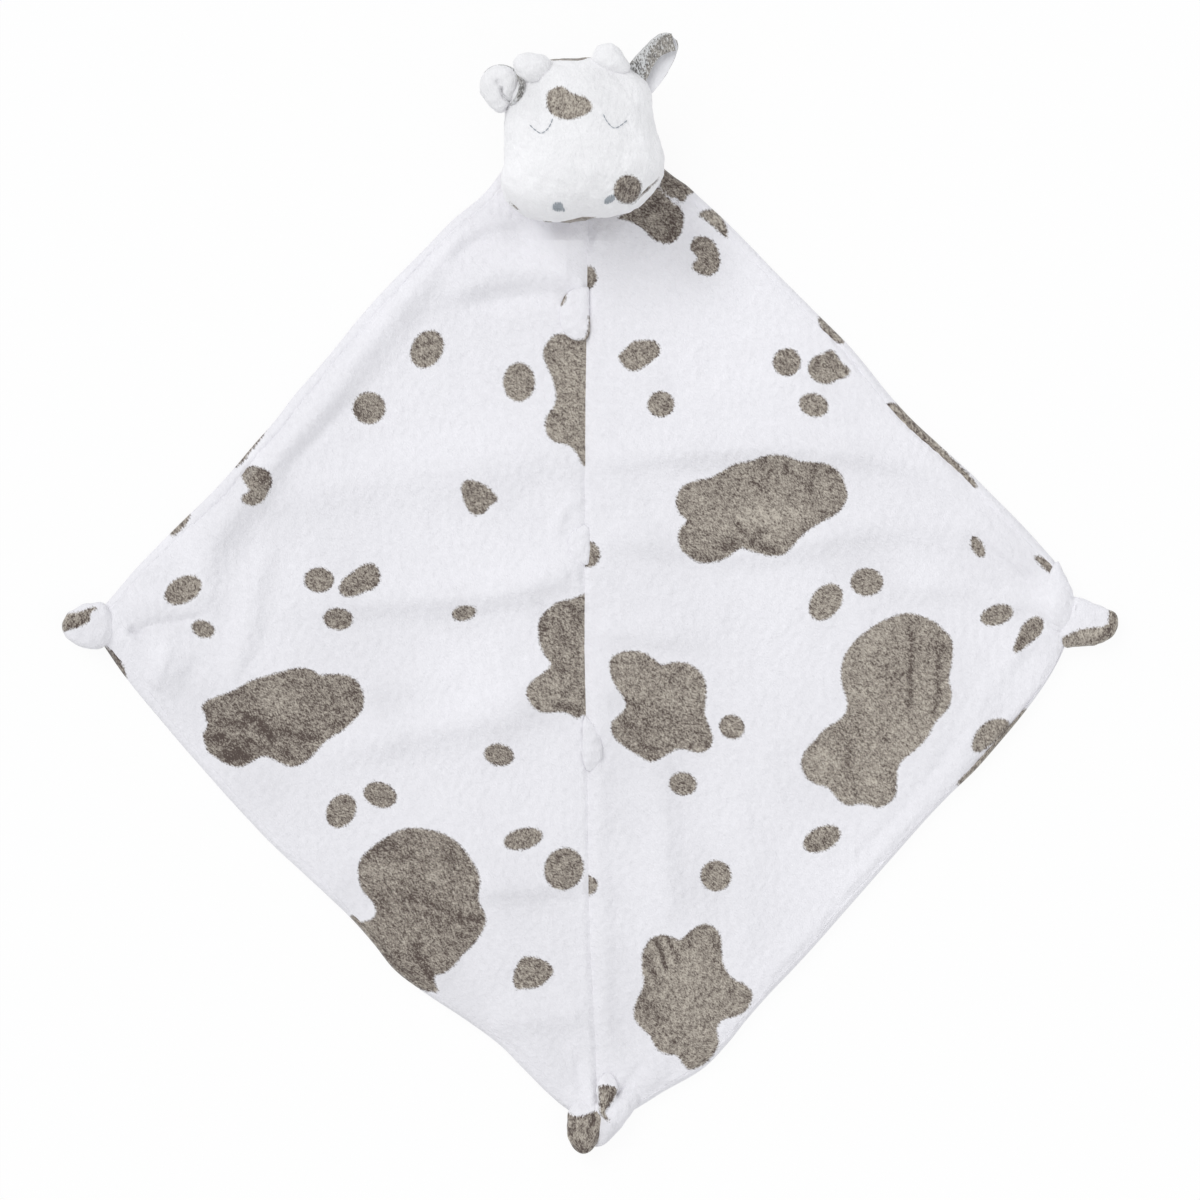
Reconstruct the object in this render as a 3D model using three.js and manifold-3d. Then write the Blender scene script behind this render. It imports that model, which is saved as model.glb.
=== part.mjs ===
// Comfort blanket with a stuffed cow head, lying flat, face up.
// Millimetres, +Z up, +Y towards the head, +X to the viewer's right. The origin is on the
// underside of the back cloth, on the line of the centre seam.
import * as THREE from 'three';
import { mergeVertices } from 'three/addons/utils/BufferGeometryUtils.js';
import Module from 'manifold-3d';

const wasm = await Module();
wasm.setup();

// Blanket: a square seen corner up, each corner where its two straight edges would meet
const left_reach = 243;
const right_reach = 246.5;
const top_reach = 248;
const bottom_reach = 286;
const left_corner_drop = 18;
const right_corner_drop = 10;
const top_corner_shift = 2;
const bottom_corner_shift = 4.5;

// Cloth and seams
const back_thickness = 3;
const front_thickness = 3;
const clearance = 0.3;
const rolled_edge_width = 4.5;
const rolled_edge_height = 2.4;
const roll_step = 0.5;
const seam_allowance_width = 10;
const seam_allowance_thickness = 0.8;
const seam_allowance_end = 12;
const seam_dip = 0.6;
const swell_height = 2.2;
const swell_pitch = 120;
const calm_width = 16;
const crease_height = 3;
const crease_reach = 68;

// Fold lines, where the cloth bends when a corner is turned over
const side_fold = 136;
const bottom_fold = 139.5;
const neck_fold = 172;

// Ends of the flat cloth, at the knots and behind the head
const left_cloth_end = 228.5;
const right_cloth_end = 219.5;
const bottom_cloth_end = 239;
const top_cloth_end = 232;

// Knots: a wrap round the gathered corner, and the cloth's own end beyond it
const knot_height = 19;
const knot_strand = 9;
const knot_core_width = 13;
const knot_tilt = 0.15;
const left_knot = { width: 22, side: -16.5, turn: 0.05 };
const right_knot = { width: 34, side: -7.5, turn: -0.15 };
const bottom_knot = { width: 26, side: 6.5, turn: -0.25 };
const bottom_knot_lap = 0.8;
const tail_thickness = 5;
const left_tail = { length: 9.3, width: 18 };
const right_tail = { length: 18.4, width: 24 };
const bottom_tail = { length: 14.2, width: 18 };

// Tufts in the centre seam: the side is the way they lie
const tuft_thickness = 4.4;
const upper_tuft = { place: 132.5, length: 24, width: 13, side: -1 };
const middle_tuft = { place: 22.5, length: 17, width: 10, side: -1 };
const lower_tuft = { place: -73, length: 24, width: 9, side: 1 };

// Head
const head_x = -2.4;
const head_y = 215.4;
const head_radius = 39.1;
const face_height = 26;
const nape_depth = 20;
const panel_thickness = 3;
const muzzle_rise = 3;
const neck_ring_radius = 14;
const neck_thread = 1.2;

// Face stitches
const eye_width = 11.4;
const eye_droop = 4.6;
const eye_spacing = 35;
const eye_rise = 9;
const eye_thread = 0.9;
const nostril_width = 5.7;
const nostril_height = 4.8;
const nostril_spacing = 24.4;
const nostril_drop = 29.6;
const stitch_thickness = 0.8;
const stitch_lift = 0.45;

// Horns: place from the centre of the head, and the way the tip points in degrees
const horn_length = 19;
const horn_width = 13.5;
const horn_thickness = 13;
const horn_rise = 4;
const left_horn = { x: -24.3, y: 34.8, angle: 152 };
const right_horn = { x: 13.8, y: 39.6, angle: 140 };

// Ears: the way from the centre of the head to the root, and the way the ear points
const ear_ply = 1.6;
const right_ear = { root: 46, angle: 59, length: 25, width: 15, root_width: 9, cup: 3.5 };
const left_ear = { root: 147, angle: 147, radius: 9, width: 12 };
const left_ear_turns = 1.25;

// Counts
const cloth_strips = 16;
const corner_strips = 9;
const cloth_cells = 14;
const half_cells = 5;
const head_spokes = 28;
const head_rings = 6;
const creases_per_knot = 7;

// Edges of the square: pairs of a share of the way from corner to corner and the share of the
// side that the edge lies inside the straight line there
const upper_left_shares = [[0.01, 0], [0.1, 0.004], [0.2, 0.01], [0.3, 0.001], [0.42, -0.003],
  [0.55, 0.001], [0.7, 0.007], [0.85, 0.001], [0.93, 0.002], [0.965, 0.012]];
const lower_left_shares = [[0.03, 0.012], [0.065, 0.006], [0.12, 0.001], [0.3, -0.005],
  [0.45, 0.001], [0.53, 0.006], [0.6, 0.002], [0.66, 0.012], [0.72, 0.026], [0.78, 0.037],
  [0.86, 0.038], [0.92, 0.03]];
const lower_right_shares = [[0.1, 0.034], [0.15, 0.022], [0.21, 0.001], [0.34, 0.002],
  [0.5, -0.001], [0.65, -0.002], [0.76, -0.008], [0.86, -0.004], [0.92, 0.008], [0.95, 0.016]];
const upper_right_shares = [[0.04, 0.03], [0.08, 0.016], [0.13, 0.002], [0.2, -0.003],
  [0.28, 0.001], [0.37, 0.005], [0.48, -0.002], [0.6, -0.001], [0.78, 0.004], [0.9, 0.004],
  [0.99, 0]];

// Outline of the head: its radius every 22.5 degrees from the viewer's right
const head_outline_shares = [0.99, 0.93, 1.0, 1.03, 1.0, 1.03, 1.02, 1.03, 0.97, 1.07, 1.16,
  1.07, 1.0, 0.965, 1.05, 1.03];
// How square the head's side profile is: 1 is an ellipse
const pillow_share = 0.75;
// Where the muzzle is fullest, and how far it spreads, of the head's radius
const muzzle_drop_share = 0.45;
const muzzle_spread_shares = [0.55, 0.38];

const soft = { roughness: 0.95, metalness: 0 };
const white_plush = new THREE.MeshStandardMaterial({ color: 0xf2f1f4, ...soft });
const grey_plush = new THREE.MeshStandardMaterial({ color: 0x8d8479, ...soft });
const grey_thread = new THREE.MeshStandardMaterial({ color: 0x9ea2a6, ...soft });
const white_thread = new THREE.MeshStandardMaterial({ color: 0xe9e9ec, ...soft });
const fibre_fill = new THREE.MeshStandardMaterial({ color: 0xf7f7f5, ...soft });

const lovey = new THREE.Group();

function piece(name, geometry, material, group = lovey) {
  const mesh = new THREE.Mesh(geometry, material);
  mesh.name = name;
  group.add(mesh);
}

const shares = (count) => Array.from({ length: count + 1 }, (_, i) => i / count);
const smooth = (x) => THREE.MathUtils.smoothstep(x, 0, 1);
const mix = THREE.MathUtils.lerp;
const radians = THREE.MathUtils.degToRad;

// A closed body from its points and triangles, turned to face outwards
function closedBody(points, triangles) {
  const volume = triangles.reduce((sum, [a, b, c]) => sum
    + points[a].dot(points[b].clone().cross(points[c])), 0);
  const outward = volume > 0 ? triangles : triangles.map(([a, b, c]) => [a, c, b]);
  const geometry = new THREE.BufferGeometry().setFromPoints(points);
  geometry.setIndex(outward.flat());
  return geometry;
}

// A sheet between two like grids of points, closed round its four sides
function slab(low, high) {
  const rows = low.length;
  const columns = low[0].length;
  const at = (layer, i, j) => (layer * rows + i) * columns + j;
  const triangles = [];
  const quad = (a, b, c, d) => triangles.push([a, b, c], [a, c, d]);
  for (let i = 0; i + 1 < rows; i += 1) {
    for (let j = 0; j + 1 < columns; j += 1) {
      quad(at(0, i, j), at(0, i, j + 1), at(0, i + 1, j + 1), at(0, i + 1, j));
      quad(at(1, i, j), at(1, i + 1, j), at(1, i + 1, j + 1), at(1, i, j + 1));
    }
    const last = columns - 1;
    quad(at(0, i, 0), at(0, i + 1, 0), at(1, i + 1, 0), at(1, i, 0));
    quad(at(0, i + 1, last), at(0, i, last), at(1, i, last), at(1, i + 1, last));
  }
  for (let j = 0; j + 1 < columns; j += 1) {
    const last = rows - 1;
    quad(at(0, 0, j + 1), at(0, 0, j), at(1, 0, j), at(1, 0, j + 1));
    quad(at(0, last, j), at(0, last, j + 1), at(1, last, j + 1), at(1, last, j));
  }
  return closedBody([...low.flat(), ...high.flat()], triangles);
}

// A body lofted through rings of points between two poles
function loft(first_pole, rings, last_pole) {
  const count = rings[0].length;
  const points = [first_pole, ...rings.flat(), last_pole];
  const end = points.length - 1;
  const at = (ring, k) => 1 + ring * count + (k % count);
  const triangles = [];
  for (let k = 0; k < count; k += 1) {
    triangles.push([0, at(0, k), at(0, k + 1)]);
    triangles.push([end, at(rings.length - 1, k + 1), at(rings.length - 1, k)]);
    for (let ring = 0; ring + 1 < rings.length; ring += 1) {
      triangles.push([at(ring, k), at(ring + 1, k), at(ring + 1, k + 1)]);
      triangles.push([at(ring, k), at(ring + 1, k + 1), at(ring, k + 1)]);
    }
  }
  return closedBody(points, triangles);
}

function toManifold(geometry) {
  const bare = geometry.clone();
  bare.deleteAttribute('normal');
  bare.deleteAttribute('uv');
  const merged = mergeVertices(bare);
  return new wasm.Manifold(new wasm.Mesh({
    numProp: 3,
    vertProperties: new Float32Array(merged.attributes.position.array),
    triVerts: new Uint32Array(merged.index.array),
  }));
}

function fromManifold(solid) {
  const mesh = solid.getMesh();
  const geometry = new THREE.BufferGeometry();
  geometry.setAttribute('position', new THREE.BufferAttribute(new Float32Array(mesh.vertProperties), 3));
  geometry.setIndex([...mesh.triVerts]);
  return geometry;
}

// Blanket outline
const corners = {
  left: new THREE.Vector2(-left_reach, -left_corner_drop),
  right: new THREE.Vector2(right_reach, -right_corner_drop),
  top: new THREE.Vector2(-top_corner_shift, top_reach),
  bottom: new THREE.Vector2(bottom_corner_shift, -bottom_reach),
};

function edge(from, to, table_shares) {
  const along = to.clone().sub(from);
  const inward = new THREE.Vector2(-along.y, along.x);
  const points = table_shares.map(([way, inset]) => from.clone()
    .addScaledVector(along, way).addScaledVector(inward, inset));
  return new THREE.SplineCurve(points).getPoints(points.length * 6);
}

const upper_left = edge(corners.top, corners.left, upper_left_shares);
const lower_left = edge(corners.left, corners.bottom, lower_left_shares);
const lower_right = edge(corners.bottom, corners.right, lower_right_shares);
const upper_right = edge(corners.right, corners.top, upper_right_shares);

// The other coordinate of an edge where its x or its y has a level
function onEdge(points, known, level) {
  const wanted = known === 'x' ? 'y' : 'x';
  const away = (p) => Math.abs(p[known] - level);
  for (let i = 0; i + 1 < points.length; i += 1) {
    const [a, b] = [points[i], points[i + 1]];
    if ((a[known] - level) * (b[known] - level) <= 0 && a[known] !== b[known]) {
      return mix(a[wanted], b[wanted], (level - a[known]) / (b[known] - a[known]));
    }
  }
  return points.reduce((best, p) => (away(p) < away(best) ? p : best))[wanted];
}

// Heights of the cloth: the front dips at the seam, swells softly and creases at the knots
const front_bottom = back_thickness + clearance;
const front_top = front_bottom + front_thickness;
const seam_raise = seam_allowance_thickness + clearance;
const seam_flat = seam_allowance_width / 2 + clearance;
const tuft_reach = Math.max(upper_tuft.width, middle_tuft.width, lower_tuft.width) + clearance;
const roll_run = rolled_edge_width * Math.SQRT2;
const front_inset = roll_run + roll_step + clearance;
const half_gap = clearance / 2;

function frontLow(x) {
  return front_bottom + seam_raise * (1 - smooth((Math.abs(x) - seam_flat) / seam_raise));
}

// 0 on a fold line, near the seam and under the head; 1 well away from them
function calm(x, y) {
  if (y > neck_fold) return 0;
  const from_folds = Math.min(Math.abs(Math.abs(x) - side_fold), Math.abs(y + bottom_fold),
    neck_fold - y) - calm_width / 4;
  const from_seam = Math.abs(x) - tuft_reach;
  return smooth(Math.min(from_folds, from_seam) / calm_width);
}

function swell(x, y) {
  const wave = Math.sin(((x + y) / swell_pitch) * Math.PI * 2)
    * Math.cos(((x - y) / swell_pitch) * Math.PI * 1.4);
  return (swell_height * (1 + wave)) / 2;
}

const knot_mouths = [
  new THREE.Vector2(-left_cloth_end, left_knot.side),
  new THREE.Vector2(right_cloth_end, right_knot.side),
  new THREE.Vector2(bottom_knot.side, -bottom_cloth_end),
];

function creases(x, y) {
  return knot_mouths.reduce((sum, mouth) => {
    const away = Math.hypot(x - mouth.x, y - mouth.y);
    const turn = Math.atan2(y - mouth.y, x - mouth.x);
    const fade = Math.max(0, 1 - away / crease_reach);
    return sum + (crease_height * fade * fade * (1 + Math.cos(turn * creases_per_knot))) / 2;
  }, 0);
}

function frontHigh(x, y) {
  const dip = seam_dip * (1 - smooth(Math.abs(x) / tuft_reach));
  return front_top - dip + calm(x, y) * (swell(x, y) + creases(x, y));
}

// Stations from one end of a strip to the other: some at set distances from either end, and
// even ones between them
function stations(from, to, count, near_from = [0], near_to = [0]) {
  const way = Math.sign(to - from);
  const start = near_from.map((d) => from + way * d);
  const finish = near_to.map((d) => to - way * d).reverse();
  const inner = shares(count).slice(1, -1).map((t) => mix(start.at(-1), finish[0], t));
  return [...start, ...inner, ...finish];
}

// Even stations with some set ones, which push out those too near to them
function mergedStations(from, to, count, set) {
  const pitch = Math.abs(to - from) / count;
  const inner = shares(count).map((t) => mix(from, to, t))
    .filter((s) => set.every((m) => Math.abs(m - s) > pitch / 3) || s === from || s === to);
  const kept = set.filter((m) => (m - from) * (m - to) < 0);
  return [...inner, ...kept].sort((a, b) => a - b);
}

// A cloth piece from strips. Each strip has its own place, its two ends, and whether they are
// free edges; crosswise strips run along x, the others along y
function cloth(strips, crosswise, marks, low, high) {
  const rows = strips.map((strip) => marks(strip).map((v) => (crosswise
    ? { x: v, y: strip.at, strip, v } : { x: strip.at, y: v, strip, v })));
  const layer = (height) => rows.map((row) => row.map((p) => new THREE.Vector3(p.x, p.y, height(p))));
  return slab(layer(low), layer(high));
}

// The rolled edge narrows with the cloth where a strip is short
function narrowing(length) {
  return Math.min(1, length / 4 / front_inset);
}

function backCloth(strips, crosswise, count) {
  const marks = (strip) => {
    const narrow = narrowing(Math.abs(strip.to - strip.from));
    const roll_marks = [0, roll_run * narrow, (roll_run + roll_step) * narrow];
    return stations(strip.from, strip.to, count, roll_marks, roll_marks);
  };
  const rolled = ({ strip, v }) => {
    const limit = (roll_run + roll_step / 2) * narrowing(Math.abs(strip.to - strip.from));
    return (strip.free_from && Math.abs(v - strip.from) < limit)
      || (strip.free_to && Math.abs(v - strip.to) < limit);
  };
  return cloth(strips, crosswise, marks, () => 0, (p) => back_thickness
    + (rolled(p) ? rolled_edge_height : 0));
}

function frontCloth(strips, crosswise, marks) {
  return cloth(strips, crosswise, marks, (p) => frontLow(p.x), (p) => frontHigh(p.x, p.y));
}

// Middle of the blanket: strips along y between the fold lines or the free edges
const neck_left = onEdge(upper_left, 'y', neck_fold);
const neck_right = onEdge(upper_right, 'y', neck_fold);
const foot_left = onEdge(lower_left, 'y', -bottom_fold);
const foot_right = onEdge(lower_right, 'y', -bottom_fold);

function middleStrip(x, inset) {
  const top = onEdge(x < 0 ? upper_left : upper_right, 'x', x);
  const bottom = onEdge(x < 0 ? lower_left : lower_right, 'x', x);
  const free_to = x <= neck_left || x >= neck_right;
  const free_from = x <= foot_left || x >= foot_right;
  return {
    at: x,
    from: Math.max(free_from || inset ? bottom + inset : -Infinity, half_gap - bottom_fold),
    to: Math.min(free_to || inset ? top - inset : Infinity, neck_fold - half_gap),
    free_from,
    free_to,
  };
}

const fold_kinks = [neck_left, neck_left + roll_step, neck_right - roll_step, neck_right,
  foot_left, foot_left + roll_step, foot_right - roll_step, foot_right];
const middle_places = mergedStations(half_gap - side_fold, side_fold - half_gap, cloth_strips, fold_kinks);
piece('back_cloth_middle', backCloth(middle_places.map((x) => middleStrip(x, 0)), false, 3), white_plush);

// The front's own corners, where its inset edge meets a fold line
function insetCrossing(points, level, inset) {
  return onEdge(points.map((p) => new THREE.Vector2(p.x, p.y + inset)), 'y', level);
}

for (const [name, side, upper, lower] of [['left', -1, upper_left, lower_left],
  ['right', 1, upper_right, lower_right]]) {
  const set = [insetCrossing(upper, neck_fold - half_gap, -front_inset),
    insetCrossing(lower, half_gap - bottom_fold, front_inset),
    side * seam_flat, side * (seam_flat + seam_raise), side * tuft_reach];
  const ends = [side * half_gap, side * (side_fold - half_gap)].sort((a, b) => a - b);
  const places = mergedStations(...ends, cloth_strips / 2, set);
  const strips = places.map((x) => middleStrip(x, front_inset));
  const marks = (strip) => stations(strip.from, strip.to, cloth_cells);
  piece(`front_cloth_${name}_middle`, frontCloth(strips, false, marks), white_plush);
}

// Left and right corners: strips along y, from the fold line to the knot
function cornerPieces(name, side, cloth_end, upper, lower) {
  const places = stations(side * (side_fold + half_gap), side * cloth_end, corner_strips);
  const strip = (x, inset) => {
    const from = onEdge(lower, 'x', x);
    const to = onEdge(upper, 'x', x);
    const room = inset * narrowing(to - from);
    return { at: x, from: from + room, to: to - room, free_from: true, free_to: true };
  };
  const marks = (s) => stations(s.from, s.to, corner_strips);
  const back = places.map((x) => strip(x, 0));
  const front = places.map((x) => strip(x, front_inset));
  piece(`back_cloth_${name}`, backCloth(back, false, 2), white_plush);
  piece(`front_cloth_${name}_corner`, frontCloth(front, false, marks), white_plush);
}
cornerPieces('left', -1, left_cloth_end, upper_left, lower_left);
cornerPieces('right', 1, right_cloth_end, upper_right, lower_right);

// Bottom and top corners: strips along x, from the fold line to the knot or the neck
function endPieces(name, fold, cloth_end, left_edge, right_edge, count) {
  const places = stations(fold, cloth_end, count);
  const ends = (y) => [onEdge(left_edge, 'y', y), onEdge(right_edge, 'y', y)];
  const back = places.map((y) => ({ at: y, from: ends(y)[0], to: ends(y)[1], free_from: true, free_to: true }));
  piece(`back_cloth_${name}`, backCloth(back, true, 2), white_plush);
  for (const [side_name, side, index] of [['left', -1, 0], ['right', 1, 1]]) {
    const strips = places.map((y) => {
      const room = front_inset * narrowing(ends(y)[1] - ends(y)[0]);
      return { at: y, from: ends(y)[index] - side * room, to: side * half_gap };
    });
    const marks = (s) => {
      const near = Math.min(1, Math.abs(s.to - s.from) / 2 / (seam_flat + seam_raise));
      const near_seam = [0, seam_flat - half_gap, seam_flat + seam_raise - half_gap];
      return stations(s.from, s.to, half_cells, [0], near_seam.map((d) => d * near));
    };
    piece(`front_cloth_${side_name}_${name}`, frontCloth(strips, true, marks), white_plush);
  }
}
endPieces('bottom', -bottom_fold - half_gap, -bottom_cloth_end, lower_left, lower_right, corner_strips);
endPieces('top', neck_fold + half_gap, top_cloth_end, upper_left, upper_right, half_cells);

// Turned allowance of the centre seam, pressed flat between front and back
function seamAllowance(name, from, to) {
  const strip = new THREE.BoxGeometry(seam_allowance_width, to - from, seam_allowance_thickness);
  strip.translate(0, (from + to) / 2, front_bottom + seam_allowance_thickness / 2);
  piece(`seam_allowance_${name}`, strip, white_plush);
}
seamAllowance('middle', half_gap - bottom_fold, neck_fold - half_gap);
seamAllowance('bottom', seam_allowance_end - bottom_cloth_end, -bottom_fold - half_gap);
seamAllowance('top', neck_fold + half_gap, top_cloth_end - seam_allowance_end);

// Tufts: D-shaped flaps with their root along the seam
function tuft(name, { place, length, width, side }) {
  const reach = (u) => Math.sqrt(1 - u * u * 0.92);
  const grid = (height) => shares(8).map((t) => {
    const u = t * 2 - 1;
    return shares(4).map((v) => new THREE.Vector3(side * mix(clearance, width, v * reach(u)),
      place + (u * length) / 2, height(u, v)));
  });
  const low = front_top + clearance;
  const plump = (u, v) => tuft_thickness * Math.sqrt(1 - v * v * 0.8) * Math.sqrt(1 - u * u * 0.7);
  piece(`tuft_${name}`, slab(grid(() => low), grid((u, v) => low + plump(u, v))), white_plush);
}
tuft('upper', upper_tuft);
tuft('middle', middle_tuft);
tuft('lower', lower_tuft);

// Knots: a tilted wrap round a gathered core, then the free end of the cloth
const strand_share = 0.42;

function knot(name, { width, turn }, tail, x, y, angle) {
  const group = new THREE.Group();
  group.position.set(x, y, 0);
  group.rotation.z = angle + turn;
  lovey.add(group);
  const tilt = -Math.sign(turn) * knot_tilt;
  const half_length = (knot_strand / 2) * Math.cos(tilt) + (width / 2) * Math.abs(Math.sin(tilt));
  const wrap = new THREE.TorusGeometry(1 - strand_share, strand_share, 8, 18);
  wrap.rotateY(Math.PI / 2);
  wrap.scale(knot_strand / 2 / strand_share, width / 2, knot_height / 2);
  wrap.rotateZ(tilt);
  const core = new THREE.SphereGeometry(1, 12, 8);
  core.scale(half_length, knot_core_width / 2, knot_core_width / 2);
  const whole = fromManifold(toManifold(wrap).add(toManifold(core)));
  whole.translate(clearance + half_length, 0, knot_height / 2);
  piece(`knot_${name}`, whole, white_plush, group);
  const root = half_length * 2 + clearance * 2;
  const fan = (u) => mix(0.55, 1, smooth(u * 1.4)) * Math.sqrt(1 - smooth(u * 3 - 2) * 0.75);
  const droop = (u) => mix(knot_height / 2, tail_thickness / 2 + clearance, smooth(u));
  const grid = (up) => shares(7).map((u) => shares(6).map((t) => {
    const v = t * 2 - 1;
    const swelling = (tail_thickness / 2) * Math.sqrt(1 - v * v * 0.75);
    return new THREE.Vector3(root + u * tail.length, (v * fan(u) * tail.width) / 2,
      droop(u) + up * swelling);
  }));
  piece(`tail_${name}`, slab(grid(-1), grid(1)), white_plush, group);
}
knot('left', left_knot, left_tail, -left_cloth_end, left_knot.side, Math.PI);
knot('right', right_knot, right_tail, right_cloth_end, right_knot.side, 0);
knot('bottom', bottom_knot, bottom_tail, bottom_knot.side, bottom_knot_lap - bottom_cloth_end,
  -Math.PI / 2);

// Ring of hand stitches that holds the head to the cloth
const neck_ring = new THREE.TorusGeometry(neck_ring_radius, neck_thread / 2, 6, 28);
neck_ring.translate(head_x, head_y, front_top + clearance + neck_thread / 2);
piece('neck_stitch_ring', neck_ring, white_thread);

// Head: two panels sewn round the outline, and the fill between them
const head_base = front_top + neck_thread + clearance * 2;
const head_seam = head_base + nape_depth;

function headRadius(angle) {
  const count = head_outline_shares.length;
  const place = THREE.MathUtils.euclideanModulo(angle / (Math.PI * 2), 1) * count;
  const k = Math.floor(place);
  const t = place - k;
  const at = (i) => head_outline_shares[(k + i + count) % count];
  const bend = at(-1) * (-t + 2 * t * t - t ** 3) + at(0) * (2 - 5 * t * t + 3 * t ** 3)
    + at(1) * (t + 4 * t * t - 3 * t ** 3) + at(2) * (-t * t + t ** 3);
  return (head_radius * bend) / 2;
}

// How much the muzzle adds to the face, 0 to 1
function muzzle(x, y) {
  const across = x / (head_radius * muzzle_spread_shares[0]);
  const down = (y + head_radius * muzzle_drop_share) / (head_radius * muzzle_spread_shares[1]);
  return Math.exp(-across * across - down * down);
}

function headPoint(angle, v, inset, side) {
  const out = (headRadius(angle) - inset) * Math.cos((v * Math.PI) / 2) ** pillow_share;
  const up = Math.sin((v * Math.PI) / 2) ** pillow_share;
  const [x, y] = [out * Math.cos(angle), out * Math.sin(angle)];
  const depth = side > 0 ? face_height + muzzle_rise * muzzle(x, y) : nape_depth;
  return new THREE.Vector3(head_x + x, head_y + y, head_seam + side * ((depth - inset) * up + half_gap));
}

function headRing(v, inset, side, count = head_spokes) {
  return shares(count).slice(0, -1).map((t) => headPoint(t * Math.PI * 2, v, inset, side));
}

function headPole(inset, side) {
  return headPoint(0, 1, inset, side);
}

const levels = shares(head_rings).slice(0, -1);

function headPanel(side) {
  const outer = levels.map((v) => headRing(v, 0, side)).reverse();
  const inner = levels.map((v) => headRing(v, panel_thickness, side));
  return loft(headPole(0, side), [...outer, ...inner], headPole(panel_thickness, side));
}

function headWhole(inset) {
  const upper = levels.map((v) => headRing(v, inset, 1)).reverse();
  const lower = levels.map((v) => headRing(v, inset, -1));
  return loft(headPole(inset, 1), [...upper, ...lower], headPole(inset, -1));
}

piece('head_face_panel', headPanel(1), white_plush);
piece('head_back_panel', headPanel(-1), white_plush);
piece('head_stuffing', headWhole(panel_thickness + clearance), fibre_fill);

// Height of the face over a place measured from the centre of the head
function faceHeight(x, y) {
  const out = Math.min(1, Math.hypot(x, y) / headRadius(Math.atan2(y, x)));
  const up = (1 - out ** (2 / pillow_share)) ** (pillow_share / 2);
  return head_seam + half_gap + (face_height + muzzle_rise * muzzle(x, y)) * up;
}

function onFace(x, y, lift) {
  const step = clearance;
  const slope_x = (faceHeight(x + step, y) - faceHeight(x - step, y)) / (step * 2);
  const slope_y = (faceHeight(x, y + step) - faceHeight(x, y - step)) / (step * 2);
  const normal = new THREE.Vector3(-slope_x, -slope_y, 1).normalize();
  return new THREE.Vector3(head_x + x, head_y + y, faceHeight(x, y)).addScaledVector(normal, lift);
}

// Closed eyes: a thread in a hanging arc
for (const [name, side] of [['left', -1], ['right', 1]]) {
  const lift = stitch_lift + eye_thread / 2;
  const arc = new THREE.CatmullRomCurve3(shares(6).map((t) => {
    const u = t * 2 - 1;
    return onFace((side * eye_spacing + u * eye_width) / 2, eye_rise - eye_droop * (1 - u * u), lift);
  }));
  const thread = new THREE.Shape().absarc(0, 0, eye_thread / 2, 0, Math.PI * 2);
  const line = new THREE.ExtrudeGeometry(thread, {
    steps: 9, curveSegments: 5, bevelEnabled: false, extrudePath: arc,
  });
  piece(`eye_stitch_${name}`, line, grey_thread);
}

// Nostrils: oval satin stitch patches
for (const [name, side] of [['left', -1], ['right', 1]]) {
  const ring = (size, lift) => shares(14).slice(0, -1).map((t) => onFace(
    (side * nostril_spacing + nostril_width * size * Math.cos(t * Math.PI * 2)) / 2,
    -nostril_drop + (nostril_height * size * Math.sin(t * Math.PI * 2)) / 2,
    lift,
  ));
  const top = stitch_lift + stitch_thickness;
  const centre = (lift) => onFace((side * nostril_spacing) / 2, -nostril_drop, lift);
  const patch = loft(centre(top), [ring(0.6, top), ring(1, mix(stitch_lift, top, 0.6)),
    ring(1, stitch_lift), ring(0.6, stitch_lift)], centre(stitch_lift));
  piece(`nostril_${name}`, patch, grey_thread);
}

// Horns: stuffed nubs, seated on the head by taking its shape out of them
const head_room = toManifold(headWhole(-clearance));

function horn(name, { x, y, angle }) {
  const nub = new THREE.SphereGeometry(1, 14, 10);
  nub.scale(horn_length / 2, horn_width / 2, horn_thickness / 2);
  nub.rotateZ(radians(angle));
  nub.translate(head_x + x, head_y + y, head_seam + horn_rise);
  piece(`horn_${name}`, fromManifold(toManifold(nub).subtract(head_room)), white_plush);
}
horn('left', left_horn);
horn('right', right_horn);

// The root of an ear: a plane square to the way it points, just clear of the head
function earRoot({ root, angle }, half_width) {
  const out = new THREE.Vector2(Math.cos(radians(angle)), Math.sin(radians(angle)));
  const across = new THREE.Vector2(-out.y, out.x);
  const rim = shares(head_spokes * 4).map((t) => t * Math.PI * 2).map((a) => new THREE.Vector2(
    headRadius(a) * Math.cos(a),
    headRadius(a) * Math.sin(a),
  ));
  const seat = new THREE.Vector2(Math.cos(radians(root)), Math.sin(radians(root)))
    .multiplyScalar(headRadius(radians(root)));
  const near = rim.filter((p) => Math.abs(p.dot(across) - seat.dot(across)) <= half_width);
  const reach = Math.max(...near.map((p) => p.dot(out))) + clearance;
  const place = out.clone().multiplyScalar(reach).addScaledVector(across, seat.dot(across));
  const group = new THREE.Group();
  group.position.set(head_x + place.x, head_y + place.y, head_seam);
  group.rotation.z = radians(angle);
  lovey.add(group);
  return group;
}

// Right ear: a cupped leaf of two plies
const leaf_group = earRoot(right_ear, right_ear.root_width / 2);
const leaf_width = (u) => mix(right_ear.root_width, right_ear.width, smooth(u * 2))
  * Math.sqrt(1 - smooth(u * 2 - 1) * 0.85);
function leaf(low, high) {
  const grid = (height) => shares(8).map((u) => shares(6).map((t) => {
    const v = t * 2 - 1;
    const cup = right_ear.cup * v * v * smooth(u * 2);
    return new THREE.Vector3(u * right_ear.length, (v * leaf_width(u)) / 2, cup + height);
  }));
  return slab(grid(low), grid(high));
}
piece('ear_right_outer', leaf(-ear_ply - half_gap, -half_gap), grey_plush, leaf_group);
piece('ear_right_inner', leaf(half_gap, half_gap + ear_ply), white_plush, leaf_group);

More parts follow.
